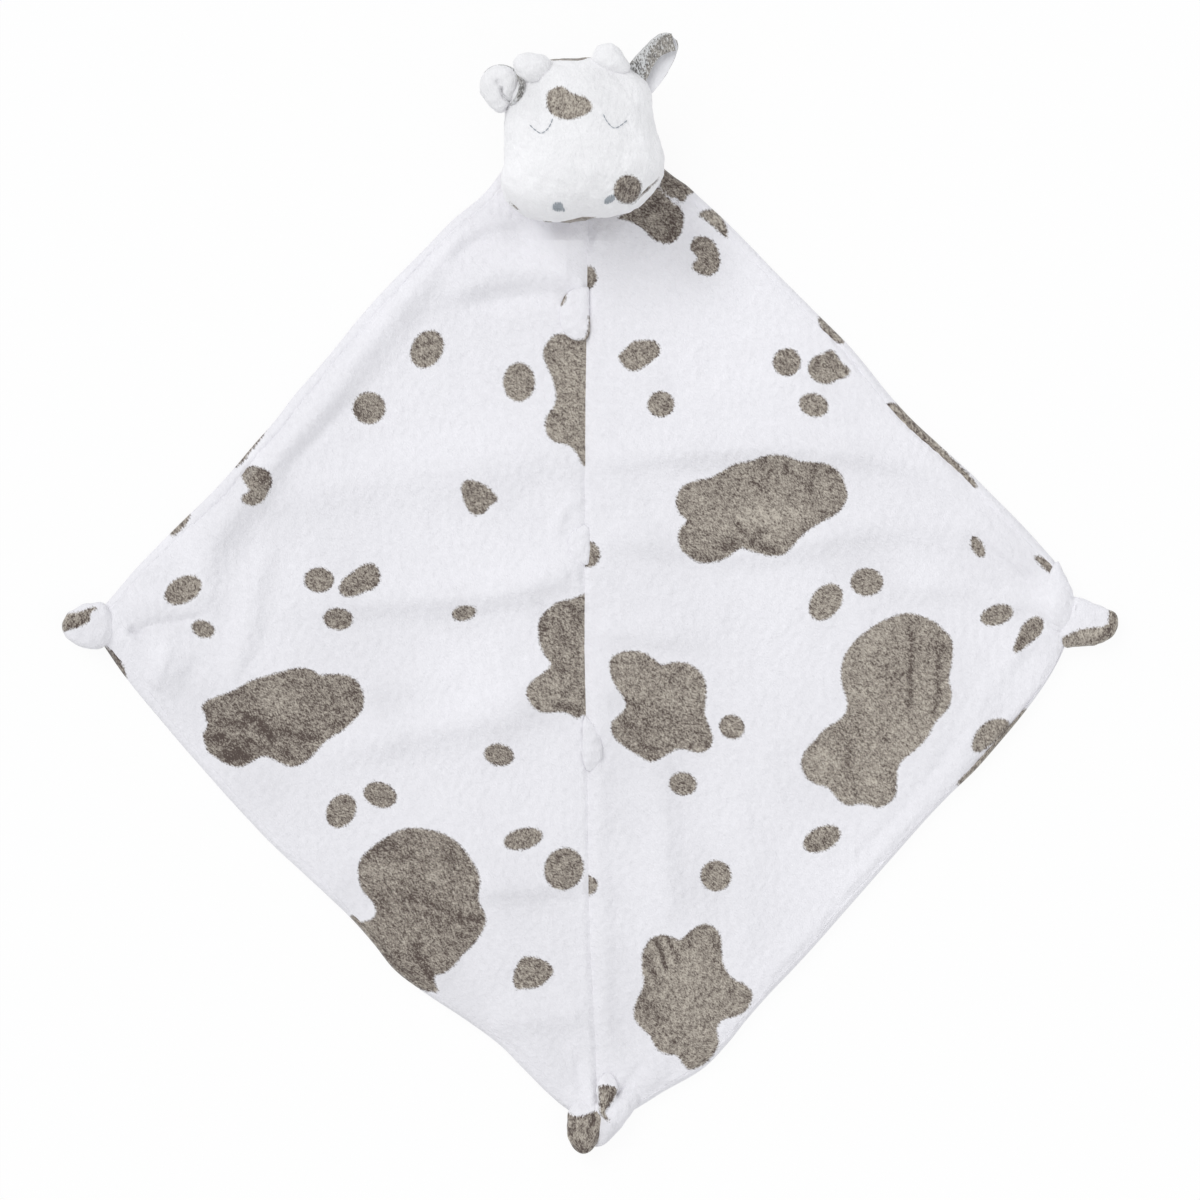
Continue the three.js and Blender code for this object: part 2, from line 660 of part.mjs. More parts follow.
// Left ear: the same two plies curled up into a spiral
const curl_group = earRoot(left_ear, left_ear.radius);
const curl_pitch = (ear_ply + clearance) * 2;
function curl(out, inner) {
  const grid = (depth) => shares(26).map((t) => {
    const radius = left_ear.radius - curl_pitch * t * left_ear_turns - depth;
    const angle = Math.PI + t * left_ear_turns * Math.PI * 2;
    return shares(2).map((w) => new THREE.Vector3(left_ear.radius + radius * Math.cos(angle),
      radius * Math.sin(angle), (w - 0.5) * left_ear.width));
  });
  return slab(grid(inner), grid(out));
}
piece('ear_left_outer', curl(0, ear_ply), grey_plush, curl_group);
piece('ear_left_inner', curl(ear_ply + clearance, ear_ply * 2 + clearance), white_plush, curl_group);

export default lovey;
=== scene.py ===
"""Comfort blanket with a stuffed cow head, lying flat and seen from above."""
import math

import bpy
import numpy as np
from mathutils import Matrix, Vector
from mathutils.bvhtree import BVHTree


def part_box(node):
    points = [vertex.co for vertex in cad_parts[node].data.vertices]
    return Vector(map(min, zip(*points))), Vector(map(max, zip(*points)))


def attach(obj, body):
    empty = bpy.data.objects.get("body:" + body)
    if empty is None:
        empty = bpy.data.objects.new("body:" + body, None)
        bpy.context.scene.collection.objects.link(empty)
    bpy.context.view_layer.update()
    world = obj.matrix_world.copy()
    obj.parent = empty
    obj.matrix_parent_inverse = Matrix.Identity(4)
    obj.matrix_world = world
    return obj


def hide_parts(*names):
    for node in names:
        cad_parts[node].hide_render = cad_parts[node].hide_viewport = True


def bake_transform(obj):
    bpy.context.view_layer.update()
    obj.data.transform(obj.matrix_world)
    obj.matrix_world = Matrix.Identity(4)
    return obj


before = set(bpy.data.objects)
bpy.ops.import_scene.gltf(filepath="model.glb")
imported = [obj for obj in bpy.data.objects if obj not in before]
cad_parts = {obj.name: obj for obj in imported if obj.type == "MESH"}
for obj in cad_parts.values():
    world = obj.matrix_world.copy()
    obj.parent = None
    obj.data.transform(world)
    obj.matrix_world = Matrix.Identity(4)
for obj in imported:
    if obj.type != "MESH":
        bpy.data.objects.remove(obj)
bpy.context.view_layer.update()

bl_info = {
    "name": "Comfort blanket with cow head",
    "version": (1, 0, 0),
    "blender": (4, 5, 0),
    "location": "View3D > Sidebar > Comfort blanket",
    "description": "Makes a spotted plush comfort blanket with tied corners and a stuffed cow head",
    "category": "Object",
}

MM = 0.001
# The photograph looks straight down: what a pixel measures, the pixel column of the centre seam,
# the pixel row of the blanket's middle, and the side of the picture
PIXEL = 0.477 * MM
SEAM_PIXEL = 588.0
MIDDLE_PIXEL = 592.5
PICTURE = 1200
# Print distance of a place that is away from every spot
FAR = 8 * MM
QUARTER_TURN = math.pi / 2
# Where the cloth is divided, just inside the line that each corner folds on, and where its bend
# ends
LEFT_LINE, LEFT_END = -134.8 * MM, -141 * MM
RIGHT_LINE, RIGHT_END = 134.8 * MM, 141 * MM
BOTTOM_LINE, BOTTOM_END = -138.2 * MM, -144 * MM
TOP_LINE, TOP_END = 168 * MM, 176 * MM
BENDS = {
    "left": ("blanket", "left_corner", (LEFT_LINE, 0, 0), (LEFT_END, 0, 0)),
    "right": ("blanket", "right_corner", (RIGHT_LINE, 0, 0), (RIGHT_END, 0, 0)),
    "bottom": ("blanket", "bottom_corner", (0, BOTTOM_LINE, 0), (0, BOTTOM_END, 0)),
    "top": ("blanket", "top_corner", (0, TOP_LINE, 0), (0, TOP_END, 0)),
}


def at(px, py):
    """The place on the blanket, in metres, of a pixel of the photograph."""
    return ((px - SEAM_PIXEL) * PIXEL, (MIDDLE_PIXEL - py) * PIXEL)


def places(points):
    """The same for a list of pixels, as an array."""
    return np.array([at(px, py) for px, py in points])


def ellipse(px, py, half_width, half_height, turn=0.0, count=26):
    """Outline of an oval spot: its centre, half sizes and turn in degrees, in pixels."""
    way = np.linspace(0, 2 * math.pi, count, endpoint=False)
    wide, high = half_width * np.cos(way), half_height * np.sin(way)
    c, s = math.cos(math.radians(turn)), math.sin(math.radians(turn))
    return [(px + a * c + b * s, py - a * s + b * c) for a, b in zip(wide, high)]


# Edges of the cloth, from knot to knot, in pixels of the photograph
UPPER_LEFT = [(90, 625), (97, 614), (104, 605), (113, 595), (134, 570), (158, 545), (183, 520),
              (209, 495), (232, 470), (253, 445), (275, 420), (294, 395), (316, 370), (337, 345),
              (357, 320), (379, 295), (403, 270), (428, 245), (452, 220), (484, 193), (508, 162),
              (540, 122), (584, 76)]
UPPER_RIGHT = [(1071, 614), (1075, 602), (1071, 588), (1063, 571), (1041, 545), (1018, 520),
               (993, 495), (969, 471), (939, 444), (913, 420), (890, 395), (870, 370), (849, 345),
               (824, 320), (799, 295), (774, 270), (750, 245), (725, 220), (700, 197), (687, 185),
               (676, 177.5),
               (664, 168), (646, 150), (620, 111), (584, 76)]
LOWER_LEFT = [(596, 1117), (583, 1116), (569, 1111), (549, 1095), (524, 1070), (499, 1045),
              (465, 1020), (427, 995), (395, 971), (374, 945), (352, 920), (326, 895), (299, 870),
              (272, 845), (248, 820), (225, 795), (203, 770), (181, 745), (160, 720), (139, 695),
              (121, 672), (106, 650), (98, 638), (90, 625)]
LOWER_RIGHT = [(596, 1117), (610, 1119), (625, 1115), (640, 1107), (664, 1092), (702, 1070),
               (727, 1045), (747, 1020), (769, 995), (793, 970), (816, 945), (838, 920), (860, 895),
               (882, 870), (904, 845), (926, 820), (950, 795), (976, 770), (998, 745), (1019, 720),
               (1038, 695), (1054, 670), (1063, 648), (1069, 630), (1071, 614)]
# The centre seam wanders a little: where it is, going down
SEAM_LINE = [(584, 60), (588, 220), (587, 300), (585.5, 400), (585, 540), (584.5, 650), (586, 720),
             (588, 800), (588.5, 890), (591, 960), (596, 1050), (598, 1125)]
# Printed spots, as outlines in pixels, by the panel that they are on
LEFT_SPOTS = [
    ellipse(427, 349, 15.5, 20, -32), ellipse(369, 408, 16.5, 16), ellipse(519, 382, 16, 19.5),
    ellipse(183, 590, 20, 13, 28), ellipse(203, 629, 12, 8.5, -22), ellipse(319, 580, 15, 12.5),
    ellipse(338, 619, 15, 11, -5), ellipse(464, 613, 12.5, 7.5, 12), ellipse(341, 811, 14, 18, -32),
    ellipse(380, 795, 17, 12.5, -20), ellipse(499, 755, 15, 11, -12), ellipse(523, 839, 20, 10.5, 13),
    ellipse(564, 869, 19.5, 21.5, -25),
    [(243, 470), (252, 466), (262, 468), (270, 473), (272, 484), (267, 495), (262, 502), (252, 506),
     (243, 502), (242, 496), (250, 491), (246, 485), (242, 478)],
    [(461, 487), (466, 480), (476, 481), (485, 485), (493, 492), (498, 499), (490, 506), (484, 513),
     (474, 515), (467, 508), (463, 498)],
    [(339, 588), (342, 580), (350, 574), (357, 568), (366, 564), (374, 564), (379, 571), (380, 581),
     (373, 589), (364, 592), (355, 596), (346, 597), (340, 593)],
    [(201, 707), (208, 700), (217, 696.5), (227, 693), (238, 688), (250, 681), (262, 677), (280, 672),
     (298, 668), (312, 670), (320, 675), (332, 674), (345, 675), (356, 680), (362, 690), (364, 702),
     (361, 712), (352, 722), (342, 731), (330, 738), (322, 745), (314, 754), (304, 763), (292, 767),
     (280, 763), (268, 757), (260, 757), (250, 763), (240, 767), (228, 765), (216, 758), (208, 752),
     (204, 742), (202, 735), (207, 727), (205, 715)],
    [(415, 828), (430, 830), (444, 834), (458, 843), (468, 855), (476, 868), (480, 880), (479, 893),
     (479, 902), (484, 912), (486, 922), (481, 934), (473, 945), (462, 956), (454, 966), (445, 973),
     (435, 976), (435, 984), (439, 993), (430, 992), (414, 990), (368, 955), (352, 930), (362, 922),
     (371, 920), (376, 912), (372, 902), (362, 890), (358, 875), (360, 860), (372, 847), (388, 836),
     (400, 830)],
    [(600, 601), (568, 600), (558, 602), (548, 609), (540, 618), (538, 630), (540, 645), (545, 656),
     (551, 663), (548, 669), (538, 676), (529, 684), (526, 693), (531, 704), (538, 711), (548, 713),
     (560, 712), (570, 714), (577, 719), (583, 715), (600, 710)],
    [(560, 333), (570, 335), (578, 340), (600, 341), (600, 466), (584, 466), (579, 457), (573, 449),
     (566, 444), (557, 443), (549, 438), (545, 427), (546, 417), (552, 409), (556, 400), (555, 388),
     (551, 375), (545, 362), (543, 352), (547, 342), (553, 336)],
    [(513, 977), (517, 966), (522, 958), (532, 957), (543, 960), (552, 967), (553, 974), (546, 982),
     (537, 988), (524, 989), (516, 989)],
    [(560, 1112), (570, 1113.5), (576, 1116.5), (584, 1116), (593, 1111.5), (602, 1110),
     (604, 1130), (560, 1130)],
]
RIGHT_SPOTS = [
    ellipse(661, 404, 13.5, 13), ellipse(787, 362, 14, 14), ellipse(814, 405, 15, 11.5, -18),
    ellipse(867, 582, 16.5, 14), ellipse(826, 602, 14.5, 20.5, -38), ellipse(732, 727, 13, 12, -35),
    ellipse(683, 784, 14, 11.5, -8), ellipse(716, 876, 15.5, 15.5), ellipse(822, 839, 20, 12, 25),
    ellipse(997, 615, 17, 10, 18), ellipse(978, 547, 6, 11.5, 28),
    [(580, 541), (592, 542), (599, 549), (600, 558), (594, 566), (587, 567), (580, 562)],
    [(580, 873), (588, 875), (596, 880), (598, 886), (594, 893), (588, 896), (580, 896)],
    [(580, 265), (588, 266), (593, 267), (597, 276), (596, 282), (591, 288), (580, 289)],
    [(618, 356), (626, 348), (634, 341), (645, 340), (655, 341), (661, 350), (655, 359), (645, 366),
     (636, 371), (627, 369), (621, 362)],
    [(808, 366), (814, 357), (824, 353), (833, 350), (841, 361), (851, 371), (846, 377), (837, 380),
     (828, 384), (818, 382), (810, 376)],
    [(676, 503), (678, 493), (686, 484), (698, 480), (712, 477), (722, 471), (735, 464), (750, 461),
     (765, 456), (780, 455), (792, 458), (800, 461), (815, 462), (830, 465), (841, 474), (846, 487),
     (848, 496), (843, 507), (835, 515), (822, 522), (810, 529), (800, 538), (792, 547), (783, 555),
     (770, 556), (758, 553), (748, 550), (742, 548), (735, 552), (722, 560), (708, 563), (697, 562),
     (688, 556), (680, 548), (678, 537), (680, 528), (687, 521), (680, 514)],
    [(895, 616), (908, 613), (922, 616), (935, 622), (945, 631), (952, 640), (953, 655), (951, 668),
     (949, 680), (952, 693), (950, 705), (944, 714), (936, 722), (930, 733), (922, 744), (912, 753),
     (903, 760), (898, 768), (897, 782), (896, 795), (888, 804), (878, 808), (868, 805), (860, 804),
     (850, 806), (842, 803), (835, 796), (828, 788), (815, 784), (806, 777), (801, 763), (806, 750),
     (815, 740), (826, 728), (838, 721), (846, 712), (847, 700), (843, 688), (841, 672), (845, 655),
     (855, 641), (868, 630), (880, 622)],
    [(609, 665), (612, 657), (622, 652), (634, 651), (645, 653), (655, 660), (662, 665), (670, 663),
     (682, 662), (693, 666), (702, 674), (706, 685), (706, 698), (705, 712), (708, 723), (713, 737),
     (710, 748), (700, 753), (690, 751), (680, 749), (670, 753), (660, 759), (650, 762), (641, 757),
     (632, 752), (622, 745), (613, 736), (611, 724), (618, 716), (626, 707), (624, 699), (618, 690),
     (612, 679)],
    [(642, 955), (645, 947), (652, 938), (662, 935), (672, 937), (680, 940), (688, 933), (698, 926),
     (707, 924), (716, 929), (721, 938), (722, 950), (723, 963), (728, 973), (735, 980), (744, 984),
     (752, 992), (752, 1000), (747, 1010), (738, 1016), (726, 1019), (719, 1024), (717, 1032),
     (719, 1042), (715, 1053), (705, 1064), (693, 1070), (685, 1067), (677, 1056), (665, 1054),
     (656, 1048), (650, 1036), (641, 1028), (634, 1017), (635, 1005), (640, 994), (644, 983),
     (642, 970)],
    [(1036, 616), (1044, 622), (1041, 634), (1029, 644), (1019, 652), (1013, 651), (1018, 636),
     (1024, 624)],
    [(972, 745), (976, 733), (984, 724), (994, 719), (1006, 720), (1011, 727), (1002, 737),
     (990, 746), (981, 752), (974, 752)],
    [(1033, 556), (1044, 557), (1052, 563), (1054, 571), (1050, 573), (1043, 568), (1038, 562)],
    [(618, 217), (640, 205), (655, 188), (661, 190.5), (667, 196), (673, 202.5), (678, 205),
    (682, 210.5),
     (684, 218), (683, 226), (681, 233), (676, 240), (669, 243.5), (660, 242), (652, 238), (642, 228),
     (632, 222), (624, 220)],
    [(660, 187), (662, 160), (672, 172), (682, 183), (693, 190), (688, 194), (686, 199), (683.5, 202),
     (679, 200.5), (675, 196.5), (671.5, 198.5), (667, 193.5), (663, 190)],
    [(698, 214), (703, 211), (709, 207), (716, 206), (724, 215), (730, 226), (728, 237.5), (722, 234),
     (715, 228), (708, 222), (701.5, 217.5)],
    [(690, 247), (694, 238), (703, 236), (712, 240), (717, 247), (720, 257), (719, 268), (712, 275),
     (703, 275), (694, 270), (692, 264), (698, 259), (694, 253)],
]
# Spots of the back cloth that its rolled edge brings into view
EDGE_SPOTS = [
    [(352, 915), (362, 920), (385, 944), (405, 966), (422, 978), (436, 990), (428, 992), (414, 988),
     (380, 975), (345, 932)],
    [(886, 404), (898, 404), (925, 428), (950, 455), (976, 482), (974, 490), (955, 476), (936, 458),
     (915, 438), (900, 421)],
    [(818, 316), (828, 322), (846, 342), (836, 342), (824, 334)],
    [(698, 214), (703, 211), (709, 209), (716, 210), (722, 217), (727, 228), (727, 237), (721, 233.5),
     (715, 227.5), (708, 221.5), (702, 217.5)],
    [(654, 150), (664, 160), (676, 168), (690, 184), (695, 190), (688, 195), (672, 192), (654, 186)],
    [(1026, 708), (1012, 716), (998, 734), (982, 754), (966, 773), (956, 784), (968, 786),
     (990, 766), (1012, 742), (1030, 718)],
    [(717, 1030), (719, 1042), (715, 1053), (705, 1064), (693, 1070), (685, 1067), (677, 1056),
     (690, 1040)],
    [(98, 644), (108, 648), (118, 656), (126, 676), (120, 684), (100, 660)],
    [(190, 512), (180, 518), (168, 530), (174, 536), (186, 524)],
    [(266, 428), (248, 440), (228, 466), (240, 464.5), (251, 451), (262, 436.5)],
]
HEAD_OUTLINE = [(592, 59), (575, 60), (553, 60.5), (535, 63), (520, 73), (510, 90), (505.5, 113),
                (504, 135), (503.5, 163), (501, 182), (504, 197), (511, 207), (521, 214),
                (533, 220.5), (557, 224), (575, 222.5), (593, 219.5), (612, 217.5), (629, 212.5),
                (643, 204), (656, 190), (663, 177), (664.5, 165), (663, 153), (660, 142),
                (656, 130), (653, 113), (652, 96), (647, 83), (636, 73), (620, 65), (606, 60)]
FACE_SPOTS = [
    [(547, 106), (548.5, 96), (555, 91), (563, 90), (568, 94), (575, 98), (584, 100), (590, 105),
     (593, 110.5), (588, 117), (579, 121), (568, 123), (557, 121), (550, 115)],
    [(614.5, 188), (618, 182), (625, 178.5), (634, 179), (640, 185), (641, 193), (637, 202),
     (630, 206), (621, 205), (615.5, 200), (613.5, 194)],
]
# Spots of the head's back: way round from the right and half width, in degrees, height of the
# middle below the seam and half height, in millimetres
BACK_SPOTS = [(-131, 7, 0.8, 1.4), (-98, 17, 7, 9), (-39, 9, 0.6, 1.0), (98, 14, 4.5, 7),
              (-70, 13, 24, 8), (-165, 16, 17, 9), (-12, 15, 20, 9), (135, 16, 22, 9), (55, 14, 17, 8)]
# How much lighter or darker the print is in places, partly its own uneven tone and partly
# painted shade, as on the spot under the head's right side and between the left ear and the
# head: pixel, reach in pixels, change of tone
TONES = [(280, 720, 110, -0.06), (420, 900, 110, -0.04), (770, 505, 120, 0.04), (890, 710, 130, 0.11),
         (690, 1000, 100, 0.09), (655, 700, 80, 0.02), (655, 215, 60, -0.13), (571, 106, 26, 0.21),
         (564, 390, 70, 0.10), (75, 622, 18, -0.10), (1090, 636, 30, 0.22),
         (582, 1130, 24, -0.08), (606, 1094, 14, -0.06), (235, 742, 28, -0.15), (540, 690, 16, 0.10),
         (850, 508, 14, -0.12), (770, 520, 50, 0.05), (115, 658, 14, -0.3), (714, 218, 12, 0.25),
         (690, 188, 10, 0.16), (522, 92, 8, -0.35), (634, 74, 9, -0.3)]
# Streaks in the print where its pile is parted or pressed: the line in pixels, half width in
# pixels, change of tone
STREAKS = [
    # Spot at the far left
    ([(205, 737), (215, 737), (226, 738)], 4, -0.35), ([(222, 757), (238, 755), (250, 758)], 5, -0.35),
    ([(230, 742), (240, 752)], 2.5, -0.2),
    ([(244, 716), (254, 719), (262, 725), (269, 733), (271, 741)], 4.2, -0.42),
    ([(214, 723), (228, 721), (246, 724)], 4, -0.2), ([(278, 732), (296, 735), (322, 738)], 3.5, -0.32),
    ([(282, 753), (290, 757)], 5, -0.25), ([(242, 734), (252, 743)], 3, -0.2),
    ([(228, 736), (240, 733), (258, 736)], 2.6, 0.2), ([(230, 696), (246, 690)], 4, -0.2),
    ([(204, 708), (208, 716)], 5, -0.2), ([(352, 686), (357, 703)], 4, -0.2),
    ([(328, 722), (345, 724)], 4, -0.2), ([(332, 698), (341, 712)], 3.4, -0.16),
    ([(262, 688), (276, 702), (290, 714)], 13, 0.14), ([(208, 696), (222, 694)], 4, 0.12),
    ([(262, 470), (268, 479), (274, 486)], 7, -0.4),
    # Spot at the upper right
    ([(736, 513), (744, 522), (752, 531)], 2.4, 0.3), ([(745, 510), (754, 519), (763, 528)], 2.4, 0.3),
    ([(755, 506), (765, 516), (771, 523)], 2.4, 0.34), ([(770, 509), (781, 521)], 2.8, 0.2),
    ([(791, 507), (798, 519)], 3, 0.2), ([(800, 505), (811, 517)], 2.6, 0.2),
    ([(736, 523), (744, 531), (750, 540)], 3, -0.25), ([(750, 541), (762, 546), (777, 552)], 5, -0.35),
    ([(757, 533), (768, 530)], 4, -0.3), ([(720, 549), (730, 544), (738, 549)], 6, -0.3),
    ([(690, 555), (712, 560)], 5, -0.2), ([(788, 543), (802, 530)], 6, -0.15),
    ([(754, 482), (771, 489)], 2.5, -0.2), ([(786, 463), (787, 475)], 4, -0.25),
    ([(806, 479), (813, 493)], 4, -0.25), ([(794, 473), (808, 486)], 2.4, -0.16),
    ([(829, 467), (835, 475)], 4, -0.25), ([(806, 466), (819, 470)], 5, -0.2),
    ([(763, 456), (766, 471)], 5, -0.15), ([(694, 492), (702, 505)], 6, 0.15),
    ([(824, 476), (828, 500)], 4, 0.1), ([(700, 522), (730, 530)], 8, 0.12),
    # Spot at the lower left
    ([(370, 853), (380, 846), (398, 848)], 6, -0.15), ([(362, 871), (382, 868), (402, 872)], 8, 0.14),
    ([(428, 873), (446, 882)], 8, 0.14), ([(450, 848), (452, 869)], 5, -0.22),
    ([(462, 856), (467, 869)], 5, -0.16), ([(370, 899), (386, 905)], 8, -0.2),
    ([(398, 899), (420, 896), (440, 908), (460, 920), (480, 927)], 4, -0.13),
    ([(453, 917), (482, 920)], 5, -0.2), ([(416, 941), (418, 955), (424, 966), (433, 980)], 4.4, -0.42),
    ([(435, 914), (440, 931)], 5, -0.15), ([(446, 945), (463, 941)], 6, -0.15),
    ([(394, 950), (413, 952)], 5, -0.12), ([(404, 967), (420, 980)], 4, -0.12),
    # Spot at the far right
    ([(907, 617), (912, 640), (911, 665), (910, 690), (909, 716)], 2.8, -0.32),
    ([(946, 642), (938, 662), (938, 690), (933, 714)], 3, -0.26), ([(933, 651), (941, 645)], 5, -0.15),
    ([(880, 667), (897, 672), (889, 687)], 6, -0.13), ([(855, 675), (862, 691)], 4, -0.13),
    ([(860, 651), (875, 641), (883, 631)], 6, 0.1), ([(858, 690), (868, 700), (873, 717)], 4, 0.16),
    ([(884, 702), (897, 692)], 4, 0.12), ([(818, 750), (831, 770)], 14, 0.16),
    ([(867, 777), (881, 790)], 6, 0.1), ([(849, 736), (848, 760), (852, 780), (859, 796)], 4, -0.22),
    ([(884, 731), (886, 747)], 5, -0.13), ([(889, 764), (893, 791)], 5, -0.13),
    # Spot right of the seam
    ([(617, 693), (628, 702), (641, 706)], 3.4, -0.26), ([(625, 717), (631, 729)], 6, -0.25),
    ([(639, 739), (650, 752), (662, 754)], 6, -0.2), ([(645, 719), (652, 733)], 5, -0.15),
    ([(668, 705), (668, 719)], 4, -0.13), ([(704, 737), (709, 745)], 5, -0.15),
    ([(668, 693), (675, 705)], 4, 0.22), ([(684, 686), (698, 694)], 9, 0.1),
    # Spot near the bottom
    ([(655, 940), (662, 954), (667, 971)], 2.3, -0.42),
    ([(644, 953), (652, 970), (658, 985)], 2.4, -0.4),
    ([(668, 937), (674, 953), (680, 967)], 2.4, -0.26), ([(688, 933), (690, 949)], 3, -0.2),
    ([(643, 991), (646, 1011)], 5, -0.3), ([(653, 1003), (661, 1023)], 5, -0.16),
    ([(671, 1033), (677, 1045)], 5, -0.13), ([(730, 989), (732, 1005)], 2.6, -0.16),
    ([(650, 943), (659, 962), (664, 979)], 2, 0.16), ([(663, 941), (671, 957), (675, 971)], 2, 0.2),
    ([(686, 962), (692, 986)], 16, 0.1), ([(714, 932), (717, 950)], 4, -0.12),
    # Spots that the seam cuts
    ([(544, 611), (541, 633)], 4, -0.2), ([(571, 605), (579, 621)], 4, -0.26),
    ([(559, 627), (566, 642), (575, 651)], 4, -0.16), ([(554, 663), (563, 673)], 5, -0.16),
    ([(552, 705), (568, 708), (579, 715)], 3.4, -0.26), ([(555, 683), (560, 699)], 3, 0.16),
    ([(567, 689), (575, 703)], 3, 0.16), ([(583, 620), (583, 700)], 3, 0.13),
    ([(545, 349), (557, 361)], 6, -0.15), ([(551, 415), (561, 420)], 4, -0.2),
    ([(584, 360), (583, 440)], 3, 0.12), ([(566, 336), (580, 343)], 3, -0.2),
    ([(355, 409), (360, 416)], 4, -0.35), ([(306, 586), (318, 591)], 4, -0.16),
    # The knots and their tails
    ([(66, 628), (80, 624), (90, 617)], 2.6, -0.3), ([(62, 620), (70, 615), (82, 611.5)], 1.8, 0.3),
    ([(1086, 643), (1100, 639), (1110, 629), (1115, 618)], 2.2, -0.28),
    ([(1080, 637), (1098, 633), (1106, 620)], 2.4, 0.16),
    ([(592, 1110), (594, 1119), (590, 1128)], 2.8, -0.32),
    ([(613, 1087), (613, 1095), (607, 1107)], 2.2, -0.4),
    ([(603, 1090), (604, 1102)], 2.6, 0.2), ([(576, 1120), (581, 1135), (590, 1146)], 3, 0.14),
    ([(571, 1146), (582, 1151), (592, 1149)], 2.6, -0.2), ([(568, 1112), (567, 1126)], 2.6, -0.16),
    # Beside the chin
    ([(658, 190), (665, 196), (674, 203)], 2.2, 0.32), ([(648, 212), (656, 222), (664, 236)], 6, 0.12),
    ([(670, 215), (672, 228), (668, 238)], 4, -0.2), ([(640, 208), (650, 204), (664, 204)], 6, -0.16),
    # Spot beside the right knot, and the turned ear
    ([(1032, 622), (1024, 636), (1016, 650)], 3, -0.24), ([(637, 64), (641, 82)], 2, -0.5),
    ([(628, 66), (634, 78)], 2, -0.45),
    ([(629, 70), (634, 80)], 2.4, -0.16), ([(648, 56), (644, 68)], 2.4, -0.14),
]
# Painted light and shade on the white plush: partly where its pile lies away from the light or
# towards it, and partly painted shade of folds and knots and painted light that lifts the
# shadow under the chin. Pixel, reach in pixels, change
NAP_AND_PAINTED_SHADING = [(480, 980, 110, -0.3), (330, 800, 80, -0.2), (570, 1060, 60, -0.4), (640, 1030, 45, -0.5),
       (660, 640, 80, -0.25), (650, 790, 60, -0.25), (706, 890, 40, -0.5), (980, 560, 60, -0.25),
       (180, 694, 45, -0.5), (740, 360, 110, 0.6), (790, 620, 60, 0.35), (440, 420, 80, 0.3),
       (480, 540, 70, 0.3), (556, 236, 24, 1.0), (572, 264, 24, 0.8), (536, 262, 24, 0.3),
       (510, 228, 14, -1.1), (350, 640, 70, -0.3),
       (470, 672, 50, 0.4), (606, 755, 28, -0.6), (540, 920, 80, -0.15), (260, 780, 40, -0.6),
       (262, 500, 38, -0.5), (340, 602, 30, -0.2), (760, 462, 70, -0.3), (850, 560, 36, -0.45),
       (905, 690, 60, -0.4), (985, 500, 40, 0.4), (870, 895, 60, 0.4), (704, 262, 34, -0.9),
       (820, 780, 40, -0.4), (1020, 680, 30, 0.3), (748, 266, 40, 0.5), (1060, 604, 26, 0.6),
       (88, 636, 22, -0.4), (600, 1130, 18, -0.7), (450, 985, 26, -0.6), (700, 735, 30, -0.3),
       (360, 890, 24, -0.4), (520, 890, 30, -0.5), (538, 700, 14, -0.6), (615, 700, 14, -0.6),
       (460, 615, 24, -0.45), (135, 630, 14, -0.6), (614, 1143, 12, -0.6), (920, 435, 46, 0.4),
       (165, 655, 16, 0.5), (606, 1090, 24, 0.6), (500, 500, 30, -0.4), (530, 702, 22, -0.5),
       (384, 700, 24, -0.5), (505, 745, 24, -0.4), (620, 960, 26, -0.5), (625, 1006, 18, -0.3),
       (660, 545, 26, -0.5), (618, 820, 30, -0.25), (862, 458, 24, -0.4), (640, 1090, 20, -0.2),
       (173, 540, 22, 0.3), (300, 578, 26, 0.35), (980, 622, 30, 0.35), (920, 562, 30, 0.3),
       (1054, 545, 18, 0.4), (376, 322, 22, 0.35), (400, 286, 20, 0.3), (250, 456, 14, 0.7),
       (122, 630, 12, 0.7), (498, 193, 12, 0.9), (702, 206, 16, 0.7), (732, 238, 20, 0.4),
       (440, 256, 20, 0.3), (1000, 590, 20, 0.2), (700, 880, 20, -0.2),
       (545, 234, 16, 0.6), (172, 622, 14, -0.5), (541, 610, 14, -0.5), (668, 772, 22, -0.5),
       (616, 900, 20, -0.3), (340, 896, 22, -0.4), (470, 1014, 22, -0.4), (700, 454, 26, -0.3),
       (216, 536, 20, -0.4), (588, 302, 12, 0.5), (616, 700, 14, -0.3), (200, 696, 20, -0.3),
       (1020, 584, 20, -0.3), (896, 590, 16, -0.3), (828, 386, 16, -0.4), (664, 384, 14, -0.4),
       (584, 480, 20, -0.2), (640, 1000, 12, -0.4), (820, 622, 16, -0.4), (460, 500, 26, -0.3),
       (702, 262, 24, -0.4),
       (560, 226, 22, 0.4)]
# The same for the head, as painted light and shade: darker on the brow, round the left ear and
# horns and low on the face, lighter down its right side
HEAD_PAINTED_SHADING = [(492, 92, 22, -0.7), (524, 96, 22, -0.5), (610, 110, 24, -0.3), (656, 118, 26, 0.7),
            (662, 156, 18, 0.7), (648, 92, 14, 0.6), (508, 200, 16, -0.4),
            (508, 176, 30, 0.5), (570, 196, 40, -0.4), (526, 102, 20, -0.5), (657, 100, 14, 0.6),
            (585, 140, 40, 0.2), (604, 92, 34, -0.5), (604, 150, 30, -0.45),
            (538, 76, 16, -0.4)]
